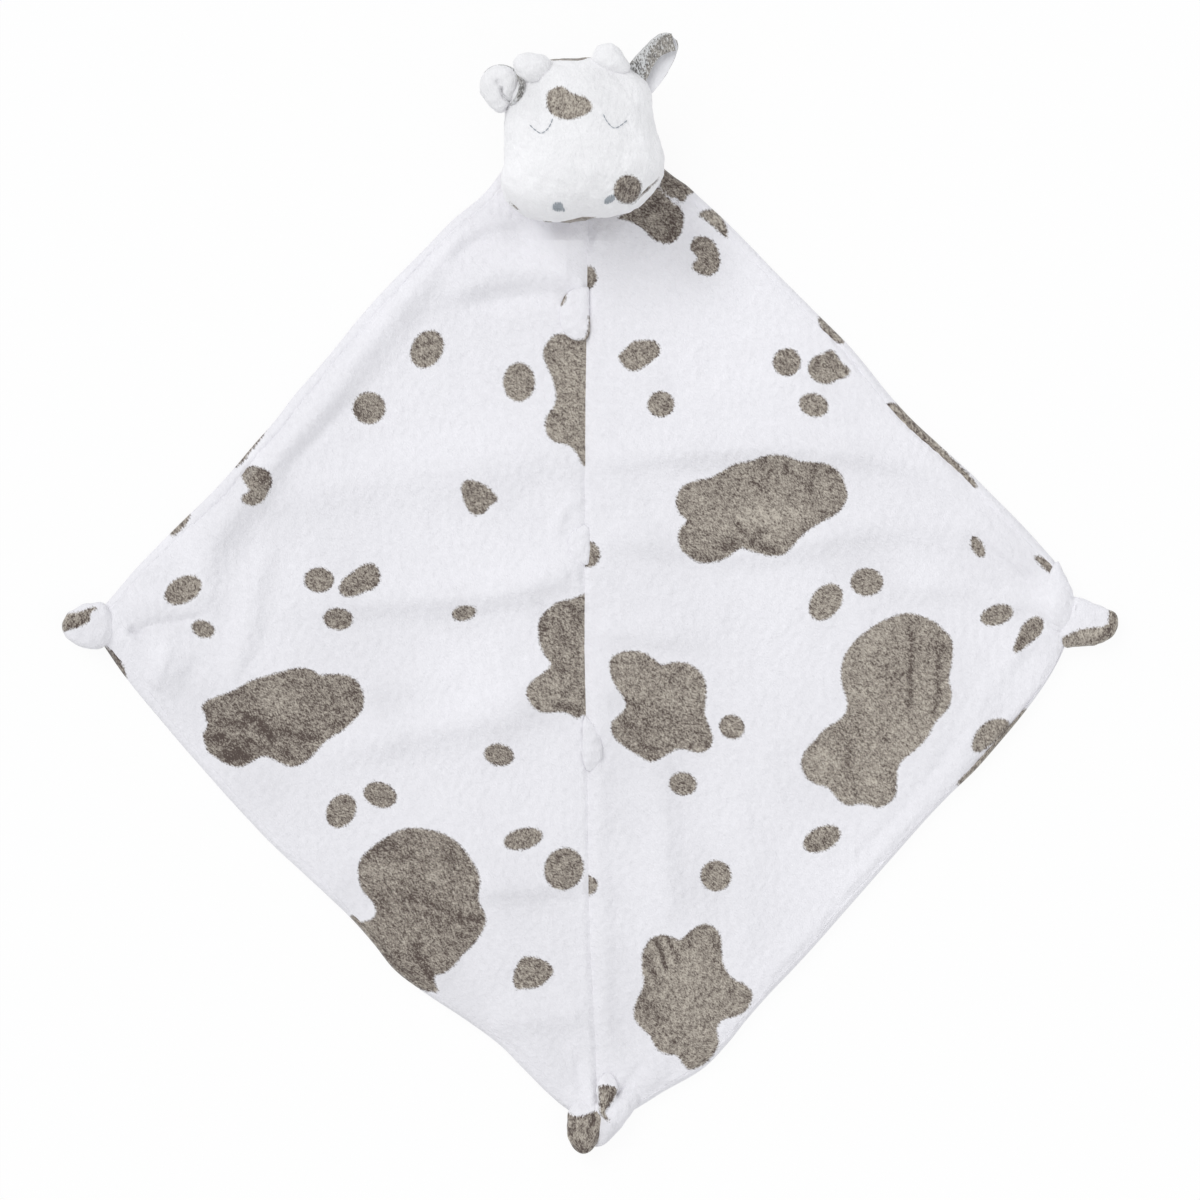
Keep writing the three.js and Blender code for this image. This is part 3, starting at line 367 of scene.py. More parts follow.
# Folds of the front as ridges: the line of each crest in pixels, its half width in pixels and
# its height in millimetres; a height below zero is a crease
FOLDS = [
    # Across the left half, from the top down
    ([(450, 262), (472, 244), (498, 232), (532, 232)], 8, -2.4),
    ([(448, 300), (476, 280), (512, 270), (556, 268), (592, 277)], 18, 4.4),
    ([(544, 233), (575, 235), (606, 236)], 19, 6.6),
    ([(455, 306), (500, 299), (556, 294), (584, 291)], 10, -2.0),
    ([(270, 500), (350, 484), (450, 468), (540, 450), (586, 438)], 26, 3.2),
    ([(330, 604), (420, 598), (500, 592), (584, 566)], 16, 4.6),
    ([(346, 745), (400, 734), (450, 725), (510, 710), (575, 692)], 21, 4.2),
    ([(380, 692), (430, 684), (470, 676)], 16, 1.2),
    ([(470, 888), (520, 888), (582, 880)], 13, 3.4),
    ([(478, 950), (462, 974), (448, 992)], 12, -1.3),
    ([(490, 1018), (540, 1018), (590, 1012)], 15, 2.8),
    # Along the upper left edge, and where that fold turns down beside the left knot
    ([(459, 239), (388, 320), (330, 395), (272, 463), (234, 509), (208, 556), (197, 606)], 18, 5.8),
    ([(350, 400), (322, 430), (306, 446), (286, 468)], 7, -2.0),
    ([(266, 546), (256, 590), (246, 634), (228, 680)], 12, 2.0),
    ([(272, 620), (262, 650), (246, 668)], 7, -0.6),
    ([(172, 640), (160, 668), (152, 692)], 10, 2.0),
    ([(200, 660), (184, 690), (176, 706)], 10, -1.6),
    # Across the right half
    ([(592, 460), (680, 452), (780, 446), (850, 452), (905, 462), (950, 484)], 15, 3.8),
    ([(592, 536), (690, 546), (760, 552), (820, 540), (880, 526), (955, 536)], 16, 3.2),
    ([(592, 632), (640, 632), (690, 640)], 13, 2.4),
    ([(600, 308), (650, 324), (720, 330), (790, 345)], 26, 1.0),
    ([(700, 616), (760, 606), (800, 630)], 30, 1.4),
    ([(660, 770), (664, 840), (668, 900), (690, 920)], 17, 2.6),
    ([(742, 800), (752, 870), (742, 950)], 20, 1.3),
    ([(600, 700), (599, 770), (598, 860), (602, 960), (606, 1060)], 9, 1.7),
    ([(596, 738), (602, 750), (603, 764)], 6, -1.8),
    ([(612, 980), (622, 1020), (640, 1050)], 14, -1.2),
    # Along the lower right edge and round the right knot
    ([(1052, 664), (1000, 730), (930, 806), (860, 884), (790, 962), (740, 1020)], 12, 0.8),
    ([(1000, 692), (950, 752), (900, 812), (850, 868)], 6, -0.8),
    ([(1024, 690), (976, 748)], 6, -0.6),
    ([(1046, 602), (1006, 600), (960, 588), (905, 586)], 13, 1.9),
    ([(1044, 628), (1008, 660), (980, 712), (958, 760)], 10, 2.0),
    ([(1014, 648), (996, 676), (986, 704)], 6, -0.8),
    ([(1044, 580), (1006, 548), (975, 516), (936, 480)], 9, 1.8),
    ([(1030, 580), (1000, 562), (960, 534)], 7, -1.1),
    ([(1006, 588), (998, 582)], 5, -0.9),
    ([(1042, 582), (1012, 578), (980, 566)], 7, -0.6),
    # Round the left knot
    ([(124, 606), (156, 602), (200, 598), (236, 600)], 12, 1.2),
    ([(126, 642), (154, 652), (180, 682)], 13, 1.5),
    ([(134, 632), (144, 627), (156, 623), (174, 621), (204, 617)], 3.4, -1.7),
    ([(129, 629), (136, 633), (142, 636)], 4, -2.6),
    ([(1038, 612), (1044, 622), (1052, 628), (1064, 632)], 3.2, -1.4),
    # Round the bottom knot
    ([(596, 1096), (594, 1060), (590, 1010)], 10, 1.2),
    ([(640, 1094), (664, 1050), (700, 1000)], 14, 1.5),
    ([(566, 1086), (540, 1050), (510, 1010)], 13, 1.5),
    ([(618, 1098), (640, 1066)], 5, -1.2),
    ([(582, 1098), (578, 1056)], 5, -1.3),
    # Small creases in and beside the prints
    ([(205, 730), (228, 730), (246, 740), (262, 756)], 3.5, -0.7),
    ([(262, 756), (284, 740), (312, 726)], 4, -0.5),
    ([(214, 702), (250, 712), (296, 704)], 5, 0.5),
    ([(566, 606), (574, 640), (570, 680)], 4, -0.5),
    ([(710, 528), (740, 516), (770, 514)], 4, 0.5),
    ([(880, 690), (900, 706), (936, 700)], 4, -0.4),
    ([(868, 716), (902, 732)], 4, -0.4),
    ([(664, 944), (668, 966), (664, 992)], 3.5, -0.5),
    ([(682, 944), (686, 970), (680, 1000)], 3.5, 0.5),
    ([(640, 664), (660, 690), (654, 724)], 5, 0.5),
    ([(586, 498), (570, 506), (559, 520), (557, 540)], 6, 1.3),
    ([(578, 524), (576, 548)], 4, -0.8),
    ([(572, 566), (584, 572)], 5, 0.6),
]
# Where the cloth swells up to a knot: pixel, half sizes in pixels, height in millimetres
SWELLS = [(100, 627, 24, 26, 3.6), (1057, 603, 19, 27, 5.6), (596, 1108, 30, 22, 3.6)]
# Where the seam round the edge can be seen: its line in pixels, and its depth in millimetres
EDGE_CREASES = [
    ([(824, 338), (836, 352), (852, 372), (862, 384)], 1.3),
    ([(884, 404), (925, 442), (976, 492)], 0.8),
    ([(346, 912), (390, 962), (450, 1004)], 0.9),
    ([(300, 858), (330, 892)], 0.7),
    ([(1040, 682), (1010, 722), (960, 778)], 0.9),
    ([(160, 556), (200, 516), (250, 462), (290, 410)], 0.35),
    ([(660, 178), (700, 212), (730, 240)], 0.7),
]


class BlanketSizes(bpy.types.PropertyGroup):
    """Sizes of the cloth and its seams."""
    cloth_top: bpy.props.FloatProperty(
        name="Cloth height", description="Height of the front where it lies flat",
        default=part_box("front_cloth_left_bottom")[0].z + 3.3 * MM, unit="LENGTH")
    roll_width: bpy.props.FloatProperty(
        name="Edge roll", description="Width of the back cloth's edge seen from the front",
        default=4.4 * MM, unit="LENGTH")
    seam_depth: bpy.props.FloatProperty(
        name="Seam depth", description="How far the centre seam is drawn down",
        default=1.2 * MM, unit="LENGTH")
    ply: bpy.props.FloatProperty(
        name="Ply", description="Thickness of one ply of plush", default=1.8 * MM, unit="LENGTH")
    side: bpy.props.FloatProperty(
        name="Side", description="Side of the square that the cloth was cut to",
        default=362 * MM, unit="LENGTH")


class PlushColours(bpy.types.PropertyGroup):
    """Colours of the plush, its print and the threads."""
    ground: bpy.props.FloatVectorProperty(
        name="Ground", description="Colour of the plush without print", size=3, subtype="COLOR",
        default=(0.83, 0.82, 0.855))
    head_ground: bpy.props.FloatVectorProperty(
        name="Head", description="Colour of the head, a little whiter", size=3, subtype="COLOR",
        default=(0.89, 0.885, 0.90))
    spot_light: bpy.props.FloatVectorProperty(
        name="Spot light", description="Tips of the pile in a spot", size=3, subtype="COLOR",
        default=(0.565, 0.513, 0.442))
    spot_dark: bpy.props.FloatVectorProperty(
        name="Spot dark", description="Depth of the pile in a spot", size=3, subtype="COLOR",
        default=(0.09, 0.068, 0.059))
    ear_lining: bpy.props.FloatVectorProperty(
        name="Ear lining", description="Colour inside the ears", size=3, subtype="COLOR",
        default=(0.80, 0.797, 0.82))
    ear_tips: bpy.props.FloatVectorProperty(
        name="Ear tips", description="Pale hairs on the back of an ear", size=3, subtype="COLOR",
        default=(0.63, 0.635, 0.64))
    ear_light: bpy.props.FloatVectorProperty(
        name="Ear light", description="Tips of the pile on the back of an ear", size=3,
        subtype="COLOR", default=(0.545, 0.505, 0.45))
    ear_dark: bpy.props.FloatVectorProperty(
        name="Ear dark", description="Depth of the pile on the back of an ear", size=3,
        subtype="COLOR", default=(0.15, 0.145, 0.14))
    thread: bpy.props.FloatVectorProperty(
        name="Face thread", description="Colour of the eyes and nostrils", size=3,
        subtype="COLOR", default=(0.37, 0.40, 0.435))


class StageSettings(bpy.types.PropertyGroup):
    """Camera and light."""
    camera_height: bpy.props.FloatProperty(
        name="Camera height", description="How far above the blanket the camera is",
        default=6.0, unit="LENGTH")
    key_light: bpy.props.FloatProperty(
        name="Key light", description="Strength of the light from the upper left", default=1.26)
    room_light: bpy.props.FloatProperty(
        name="Room light", description="Strength of the even light from all round", default=0.615)
    fill_light: bpy.props.FloatProperty(
        name="Fill light", description="Strength of the light from the right", default=0.42)
    front_light: bpy.props.FloatProperty(
        name="Front light", description="Strength of the light from below in the picture",
        default=0.25)


# Small helpers


def sizes():
    """The sizes that a user can change."""
    return bpy.context.scene.lovey_sizes


def colours():
    """The colours that a user can change."""
    return bpy.context.scene.lovey_colours


def deselect():
    """Nothing selected and nothing active."""
    for o in bpy.context.selected_objects:
        o.select_set(False)
    bpy.context.view_layer.objects.active = None


def pick(obj):
    """Only this object selected and active."""
    deselect()
    obj.select_set(True)
    bpy.context.view_layer.objects.active = obj


def discard(obj):
    """Deletes an object that was only a step on the way."""
    pick(obj)
    bpy.ops.object.delete()


def added(name):
    """The object that an operator has just added, with its name."""
    obj = bpy.context.active_object
    obj.name = name
    return obj


def join(name, parts):
    """Several objects made one."""
    deselect()
    for part in parts:
        part.select_set(True)
    bpy.context.view_layer.objects.active = parts[0]
    bpy.ops.object.join()
    return added(name)


def rows_of(items, name, width, kind=float):
    """One property of many points, faces or corners, as the rows of an array."""
    flat = np.empty(len(items) * width, kind)
    items.foreach_get(name, flat)
    return flat.reshape(-1, width)


def points_of(obj):
    """The mesh's points as an array."""
    return rows_of(obj.data.vertices, "co", 3)


def move_points(obj, points):
    """Puts the mesh's points where the array says."""
    obj.data.vertices.foreach_set("co", np.asarray(points, float).ravel())
    obj.data.update()


def set_value(obj, name, values):
    """Keeps one number for each point of the mesh."""
    layer = obj.data.attributes.get(name) or obj.data.attributes.new(name, "FLOAT", "POINT")
    layer.data.foreach_set("value", np.asarray(values, np.float32))


def set_vectors(obj, name, values):
    """Keeps one vector for each point of the mesh."""
    layer = obj.data.attributes.new(name, "FLOAT_VECTOR", "POINT")
    layer.data.foreach_set("vector", np.asarray(values, np.float32).ravel())


def edit_all(obj, operator, **settings):
    """Runs one edit-mode operator on the whole mesh."""
    pick(obj)
    bpy.ops.object.mode_set(mode="EDIT")
    bpy.ops.mesh.select_all(action="SELECT")
    operator(**settings)
    bpy.ops.object.mode_set(mode="OBJECT")


def apply_modifier(obj, kind, **settings):
    """Adds a modifier with its settings and applies it."""
    pick(obj)
    bpy.ops.object.modifier_add(type=kind)
    modifier = obj.modifiers[-1]
    for name, value in settings.items():
        setattr(modifier, name, value)
    bpy.ops.object.modifier_apply(modifier=modifier.name)


def shade(obj, degrees=80):
    """Smooth shading with the sharp edges kept."""
    pick(obj)
    bpy.ops.object.shade_smooth_by_angle(angle=math.radians(degrees))


def smooth(t):
    """0 to 1 with soft ends."""
    t = np.clip(t, 0, 1)
    return t * t * (3 - 2 * t)


def bell(away, width):
    """1 at no distance, and softly less over the width."""
    return np.exp(-(away / width) ** 2)


def ends_faded(share, steepness, least=0.0):
    """1 along a line and less towards its two ends, for the share of the way along it."""
    return smooth(np.minimum(share, 1 - share) * steepness + least)


def read_rows(table, row):
    """A table's columns read at row numbers that may lie between two rows."""
    return np.stack([np.interp(row, np.arange(len(table)), column) for column in table.T], 1)


def curve_through(points, count, closed=False):
    """Even points along a smooth curve through the given ones."""
    points = np.asarray(points, float)
    if closed:
        ring = np.vstack([points[-1:], points, points[:2]])
    else:
        ring = np.vstack([2 * points[:1] - points[1:2], points, 2 * points[-1:] - points[-2:-1]])
    spans, steps_in_span = len(ring) - 3, 12
    t = np.linspace(0, 1, steps_in_span, endpoint=False)[:, None]
    dense = [0.5 * (2 * b + (c - a) * t + (2 * a - 5 * b + 4 * c - d) * t ** 2
                    + (3 * b - a - 3 * c + d) * t ** 3)
             for a, b, c, d in (ring[i:i + 4] for i in range(spans))]
    dense = np.vstack(dense + [ring[-2:-1]])
    steps = np.linalg.norm(np.diff(dense, axis=0), axis=1)
    way = np.concatenate([[0], np.cumsum(steps)])
    wanted = np.linspace(0, way[-1], count, endpoint=not closed)
    return np.stack([np.interp(wanted, way, column) for column in dense.T], 1)


def boxed(x, y, line, reach):
    """Which places lie within reach of the box round a line."""
    low, high = line.min(0) - reach, line.max(0) + reach
    return (x > low[0]) & (x < high[0]) & (y > low[1]) & (y < high[1])


def line_distance(x, y, line):
    """Distance to an open line, and the share of the way along it of the nearest point."""
    p = np.stack([x, y], 1)
    best, share = np.full(len(x), 1.0), np.zeros(len(x))
    steps = np.linalg.norm(np.diff(line, axis=0), axis=1)
    way = np.concatenate([[0], np.cumsum(steps)]) / steps.sum()
    for k, (a, b) in enumerate(zip(line[:-1], line[1:])):
        along = b - a
        t = np.clip((p - a) @ along / (along @ along), 0, 1)
        away = np.linalg.norm(p - a - t[:, None] * along, axis=1)
        nearer = away < best
        best = np.where(nearer, away, best)
        share = np.where(nearer, way[k] + t * (way[k + 1] - way[k]), share)
    return best, share


def outline_distance(x, y, loop):
    """Distance from each place to a closed outline, below zero inside it."""
    near = boxed(x, y, loop, FAR)
    out = np.full(len(x), FAR)
    if not near.any():
        return out
    p = np.stack([x[near], y[near]], 1)[:, None]
    a, b = loop[None], np.roll(loop, -1, axis=0)[None]
    along = b - a
    t = np.clip(((p - a) * along).sum(2) / (along ** 2).sum(2), 0, 1)
    away = np.sqrt((((p - a) - along * t[..., None]) ** 2).sum(2)).min(1)
    crosses = ((a[..., 1] > p[..., 1]) != (b[..., 1] > p[..., 1]))
    slope = np.where(along[..., 1] == 0, 1, along[..., 1])
    hit = p[..., 0] < a[..., 0] + along[..., 0] * (p[..., 1] - a[..., 1]) / slope
    inside = (crosses & hit).sum(1) % 2 == 1
    out[near] = np.where(inside, -away, np.minimum(away, FAR))
    return out


def print_distance(x, y, spots):
    """Distance from each place to the nearest printed spot, below zero inside one."""
    out = np.full(len(x), FAR)
    for spot in spots:
        loop = curve_through(places(spot), max(24, 3 * len(spot)), closed=True)
        out = np.minimum(out, outline_distance(x, y, loop))
    return out


def print_on(obj, spots):
    """The same for the points of a piece."""
    p = points_of(obj)
    return print_distance(p[:, 0], p[:, 1], spots)


def ripples(x, y, length, seed):
    """Smooth waves with no pattern, about -1 to 1, of roughly the given length."""
    rng = np.random.default_rng(seed)
    count = 14
    total = np.zeros(len(x))
    for turn, stretch, phase in zip(rng.uniform(0, 2 * math.pi, count),
                                    rng.uniform(0.7, 1.5, count), rng.uniform(0, 7, count)):
        k = 2 * math.pi / (length * stretch)
        total += np.sin(k * (x * math.cos(turn) + y * math.sin(turn)) + phase)
    return total / math.sqrt(count)


def patch_tone(x, y, patches):
    """Sum of soft round patches, each given as pixel, reach in pixels and change."""
    total = np.zeros(len(x))
    for px, py, reach, change in patches:
        cx, cy = at(px, py)
        total += change * bell(np.hypot(x - cx, y - cy), reach * PIXEL)
    return total


def print_tone(x, y):
    """How much lighter or darker than usual the print is at each place."""
    total = patch_tone(x, y, TONES)
    for line, half_width, change in STREAKS:
        track = places(line)
        near = boxed(x, y, track, 2.4 * half_width * PIXEL)
        if near.any():
            away, share = line_distance(x[near], y[near], track)
            total[near] += change * ends_faded(share, 5, 0.4) * bell(away, half_width * PIXEL)
    return total


def seam_place(y):
    """Where the centre seam lies, sideways, for each height in the picture."""
    line = places(SEAM_LINE)[::-1]
    return np.interp(y, line[:, 1], line[:, 0])


# Materials


class Value:
    """A shader socket that takes part in Python expressions."""

    def __init__(self, shader, socket):
        self.shader, self.socket = shader, socket

    def _math(self, operation, first, second):
        return self.shader.node("ShaderNodeMath", {"operation": operation}, [first, second])

    def __add__(self, other):
        return self._math("ADD", self, other)

    def __sub__(self, other):
        return self._math("SUBTRACT", self, other)

    def __rsub__(self, other):
        return self._math("SUBTRACT", other, self)

    def __mul__(self, other):
        return self._math("MULTIPLY", self, other)

    __radd__, __rmul__ = __add__, __mul__

    def clamp(self):
        return self.shader.node("ShaderNodeClamp", {}, [self])


class Shader:
    """Builds the nodes of a material or of the world."""

    def __init__(self, owner):
        self.owner = owner
        owner.use_nodes = True
        self.tree = owner.node_tree

    def put(self, value, socket):
        """Gives a socket a link or a plain value."""
        if isinstance(value, Value):
            self.tree.links.new(value.socket, socket)
        else:
            socket.default_value = value

    def node(self, kind, settings=(), inputs=(), output=0):
        """Any node: its settings first, then the values or links of its sockets."""
        made = self.tree.nodes.new(kind)
        for name, value in dict(settings).items():
            setattr(made, name, value)
        for key, value in inputs.items() if isinstance(inputs, dict) else enumerate(inputs):
            self.put(value, made.inputs[key])
        return Value(self, made.outputs[output]) if made.outputs else None

    def kept(self, name, output=2):
        """What is kept on the points of the mesh: 2 for a number, 1 for a vector."""
        return self.node("ShaderNodeAttribute", {"attribute_name": name}, output=output)

    def pile(self, turn, stretch):
        """Places along the cloth, turned by so many degrees and stretched the way the pile lies."""
        return self.node("ShaderNodeMapping", {}, {
            "Vector": self.kept("pile", 1), "Rotation": (0.0, 0.0, math.radians(turn)),
            "Scale": (1.0, stretch, 1.0)})

    def mix(self, share, first, second):
        """A mix of two colours."""
        return self.node("ShaderNodeMix", {"data_type": "RGBA"}, {0: share, 6: first, 7: second}, 2)

    def noise(self, vector, scale, detail=1.0, rough=0.5):
        """Noise of a given fineness, about 0 to 1."""
        return self.node("ShaderNodeTexNoise", {}, {
            "Vector": vector, "Scale": scale, "Detail": detail, "Roughness": rough})

    def bump(self, height, strength, distance):
        """A normal from a height."""
        return self.node("ShaderNodeBump", {}, {
            "Strength": strength, "Distance": distance, "Height": height})

    def surface(self, settings):
        """Puts values or links on the sockets of the surface."""
        for name, value in settings.items():
            self.put(value, self.tree.nodes["Principled BSDF"].inputs[name])
        return self.owner


def shade_of(colour, share=1.0):
    """A lighter or darker shade of a colour, without transparency."""
    return (*(c * share for c in colour), 1.0)


def plush(name, ground, light, dark, ragged=1.0, relief=0.6):
    """Short brushed pile with a print whose edge is ragged hair by hair."""
    s = Shader(bpy.data.materials.new(name))
    place, turned = s.kept("pile", 1), s.pile(40, 0.55)
    hairs, tufts, locks = (s.noise(turned, fineness) for fineness in (1900.0, 1050.0, 520.0))
    clumps, cloud = s.noise(place, 260.0, 2.0), s.noise(place, 42.0)
    grain = (hairs - 0.5) * 1.6 + (tufts - 0.5) * 1.2 + (locks - 0.5) * 0.8
    edge = s.kept("print") * (1 / MM) + ((hairs - 0.5) * 1.8 + (tufts - 0.5) * 1.9) * ragged
    tone = 0.38 + s.kept("tone") + grain + (clumps - 0.5) * 0.6 + (cloud - 0.5) * 0.3
    # Painted light and shade, kept on the points with how the pile lies, lighten or darken the white
    bright = 0.45 + s.kept("nap_and_painted_shading") * 0.52 + grain * 0.23 + (clumps - 0.5) * 0.49
    spot = s.mix(tone.clamp(), shade_of(dark), shade_of(light))
    white = s.mix(bright.clamp(), shade_of(ground, 0.9), shade_of(ground, 1.1))
    height = hairs * 0.4 + tufts * 0.6 + clumps * 1.1
    return s.surface({
        "Base Color": s.mix((0.5 - edge * 0.9).clamp(), white, spot),
        "Roughness": 0.92, "Sheen Weight": 0.35, "Sheen Roughness": 0.5,
        "Specular IOR Level": 0.12, "Normal": s.bump(height, relief, 0.9 * MM)})


def thread(name, colour):
    """Twisted embroidery thread."""
    s = Shader(bpy.data.materials.new(name))
    strands = s.noise(s.pile(25, 0.2), 2600.0, 2.0, 0.6)
    return s.surface({
        "Base Color": s.mix(((strands - 0.5) * 1.6 + 0.5).clamp(),
                            shade_of(colour, 0.55), shade_of(colour, 1.35)),
        "Roughness": 0.6, "Normal": s.bump(strands, 0.5, 0.3 * MM)})


MATERIALS = {}


def material(name):
    """The finishes, each made when it is first asked for."""
    if name not in MATERIALS:
        c = colours()
        makers = {
            "white_plush": lambda: plush(name, c.ground, c.spot_light, c.spot_dark),
            "head_plush": lambda: plush(name, c.head_ground, c.spot_light, c.spot_dark),
            "ear_lining": lambda: plush(name, c.ear_lining, c.spot_light, c.spot_dark, relief=0.3),
            "ear_back": lambda: plush(name, c.ear_tips, c.ear_light, c.ear_dark, ragged=2.0),
            "grey_thread": lambda: thread(name, c.thread),
            "white_thread": lambda: thread(name, c.ground),
        }
        MATERIALS[name] = makers[name]()
    return MATERIALS[name]


def finish_piece(obj, finish, nodes, body=None, bend=None):
    """Tones, material, hidden replaced nodes, and the body that it moves with, if it has no bend."""
    x, y, _ = points_of(obj).T
    set_value(obj, "tone", print_tone(x, y))
    # Painted light and shade for the white plush and the head, together with how the pile lies
    patches = {"head_plush": HEAD_PAINTED_SHADING, "white_plush": NAP_AND_PAINTED_SHADING}.get(finish, [])
    set_value(obj, "nap_and_painted_shading", patch_tone(x, y, patches))
    obj.data.materials.clear()
    obj.data.materials.append(material(finish))
    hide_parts(*nodes)
    if bend:
        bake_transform(obj)
    else:
        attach(obj, body)


# Cloth


def coons(u, v, edges):
    """Places inside four edges: each edge as even points from one end to the other."""
    low_u, high_u, low_v, high_v = edges

    def on(edge, t):
        return read_rows(edge, t * (len(edge) - 1))

    a, b = u[:, None], v[:, None]
    corners = ((1 - a) * (1 - b) * low_u[0] + a * (1 - b) * low_u[-1]
               + (1 - a) * b * high_u[0] + a * b * high_u[-1])
    return ((1 - b) * on(low_u, u) + b * on(high_u, u)
            + (1 - a) * on(low_v, v) + a * on(high_v, v) - corners)


def cloth_edges():
    """The four edges: bottom to right, left to top, bottom to left, right to top."""
    return [curve_through(places(e), 400) for e in (LOWER_RIGHT, UPPER_LEFT, LOWER_LEFT, UPPER_RIGHT)]


def fold_height(x, y):
    """Height that the folds and a little unevenness add to the front."""
    total = 0.35 * MM * ripples(x, y, 62 * MM, 3) + 0.16 * MM * ripples(x, y, 17 * MM, 5)
    for crest, half_width, height in FOLDS:
        away, share = line_distance(x, y, curve_through(places(crest), 14))
        fade = np.minimum(1, np.minimum(share, 1 - share) * 4 + 0.35)
        total += height * MM * fade * bell(away, half_width * PIXEL)
    return total


def swell_height(x, y):
    """What the cloth rises by where it is gathered into the knots."""
    total = np.zeros(len(x))
    for px, py, wide, high, height in SWELLS:
        cx, cy = at(px, py)
        total += height * MM * bell(x - cx, wide * PIXEL) * bell(y - cy, high * PIXEL)
    return total


def edge_crease(x, y):
    """Depth of the seam between the front and the roll."""
    depth = np.zeros(len(x))
    for line, deep in EDGE_CREASES:
        away, share = line_distance(x, y, places(line))
        depth += deep * MM * ends_faded(share, 5) * (1 - smooth((away / PIXEL - 8) / 8))
    return depth


def wander(way, along, number):
    """Moves the seam in from the edge a little in or out, and leaves the outline as it is."""
    seam, far = sizes().roll_width, 14 * MM
    hump = np.where(way < seam, way / seam, (far - way) / (far - seam))
    shift = 0.9 * MM * ripples(along, 0 * along, 60 * MM, 80 + number)
    return way + np.clip(shift, -1.6 * MM, 2.2 * MM) * np.clip(hump, 0, 1)


def wandered(u, v):
    """The same for all four edges of the square."""
    side = sizes().side
    du, dv = u * side, v * side
    a, b = wander(du, dv, 1), wander(dv, du, 2)
    a, b = side - wander(side - a, dv, 3), side - wander(side - b, du, 4)
    return a / side, b / side


def way_in(u, v):
    """How far in from the nearest edge of the square."""
    return np.minimum(np.minimum(u, 1 - u), np.minimum(v, 1 - v)) * sizes().side


def front_height(x, y, inset):
    """Height of the front's surface. Inset is the way in from the front's own edge."""
    s = sizes()
    from_seam = np.abs(x - seam_place(y))
    under = np.maximum(-inset, 0) / MM
    inset = np.maximum(inset, 0)
    # The folds fade out at the edge, beside the seam and under the head
    held = 0.35
    lift = fold_height(x, y) * smooth(inset / (5 * MM))
    lift *= held + (1 - held) * np.clip((from_seam - 1 * MM) / (9 * MM), 0, 1)
    lift *= 1 - np.clip((y - TOP_LINE) / (12 * MM), 0, 1)
    lift += swell_height(x, y)
    dip = s.seam_depth * bell(from_seam, 1.5 * MM)
    edge = 0.5 * MM * bell(inset, 3.2 * MM)
    crease = edge_crease(x, y) * bell(inset, 0.8 * MM)
    grain = 0.16 * MM * ripples(x, y, 4.2 * MM, 11)
    tuck = (0.25 * under + 0.75 * under ** 2) * MM
    return s.cloth_top + lift - dip - edge - crease + grain - tuck


def grid(name, wide, high):
    """A flat square with so many faces each way, and a UV map that spans it."""
    deselect()
    bpy.ops.mesh.primitive_grid_add(x_subdivisions=wide, y_subdivisions=high, size=1)
    return added(name)


def read_grid(obj, *tables):
    """What tables of the grid's lines hold at each point: for each table, one row each way."""
    corners = rows_of(obj.data.loops, "vertex_index", 1, int)[:, 0]
    share = np.zeros((len(obj.data.vertices), 2))
    share[corners] = rows_of(obj.data.uv_layers.active.data, "uv", 2)
    row = share * (len(tables[0]) - 1)
    return [np.interp(row, np.arange(len(table)), table).T for table in tables]


def cut(obj, place, across):
    """Cuts the mesh through by a plane, so that it has an edge line there."""
    edit_all(obj, bpy.ops.mesh.bisect, plane_co=place, plane_no=across)


def cut_at_folds(obj):
    """An edge line where each corner of the cloth folds."""
    for _, _, start, _ in BENDS.values():
        cut(obj, start, [1.0 if measure else 0.0 for measure in start])


def face_middles(obj):
    """Where the middle of each face is, and the corner of the cloth that it belongs to."""
    x, y, _ = rows_of(obj.data.polygons, "center", 3).T
    corner = np.select([x < LEFT_LINE, x > RIGHT_LINE, y < BOTTOM_LINE, y > TOP_LINE],
                       ["left", "right", "bottom", "top"], "middle")
    return x, y, corner


def part_of(master, name, kept):
    """A copy of the master that has only the faces marked as kept."""
    pick(master)
    bpy.ops.object.duplicate()
    obj = added(name)
    obj.data.name = name
    bpy.context.tool_settings.mesh_select_mode = (False, False, True)
    obj.data.polygons.foreach_set("select", ~kept)
    bpy.ops.object.mode_set(mode="EDIT")
    bpy.ops.mesh.delete(type="FACE")
    bpy.ops.object.mode_set(mode="OBJECT")
    return obj


def finish_sheet(piece, thickness, nodes, place):
    """Gives cloth its thickness and finish, and works out its area when laid out flat."""
    apply_modifier(piece, "SOLIDIFY", thickness=thickness, offset=-1)
    keep_above(piece)
    shade(piece, 60)
    finish_piece(piece, "white_plush", nodes, "blanket", BENDS.get(place))
    # The pile's places are the cloth laid out flat, which both of its layers cover
    mesh, layers = piece.data, 2
    flat = rows_of(mesh.attributes["pile"].data, "vector", 3, np.float32)
    mesh.calc_loop_triangles()
    corners = np.array([t.vertices for t in mesh.loop_triangles])
    a, b, c = (flat[corners[:, k], :2] for k in range(3))
    twice = np.abs((b - a)[:, 0] * (c - a)[:, 1] - (b - a)[:, 1] * (c - a)[:, 0]).sum()


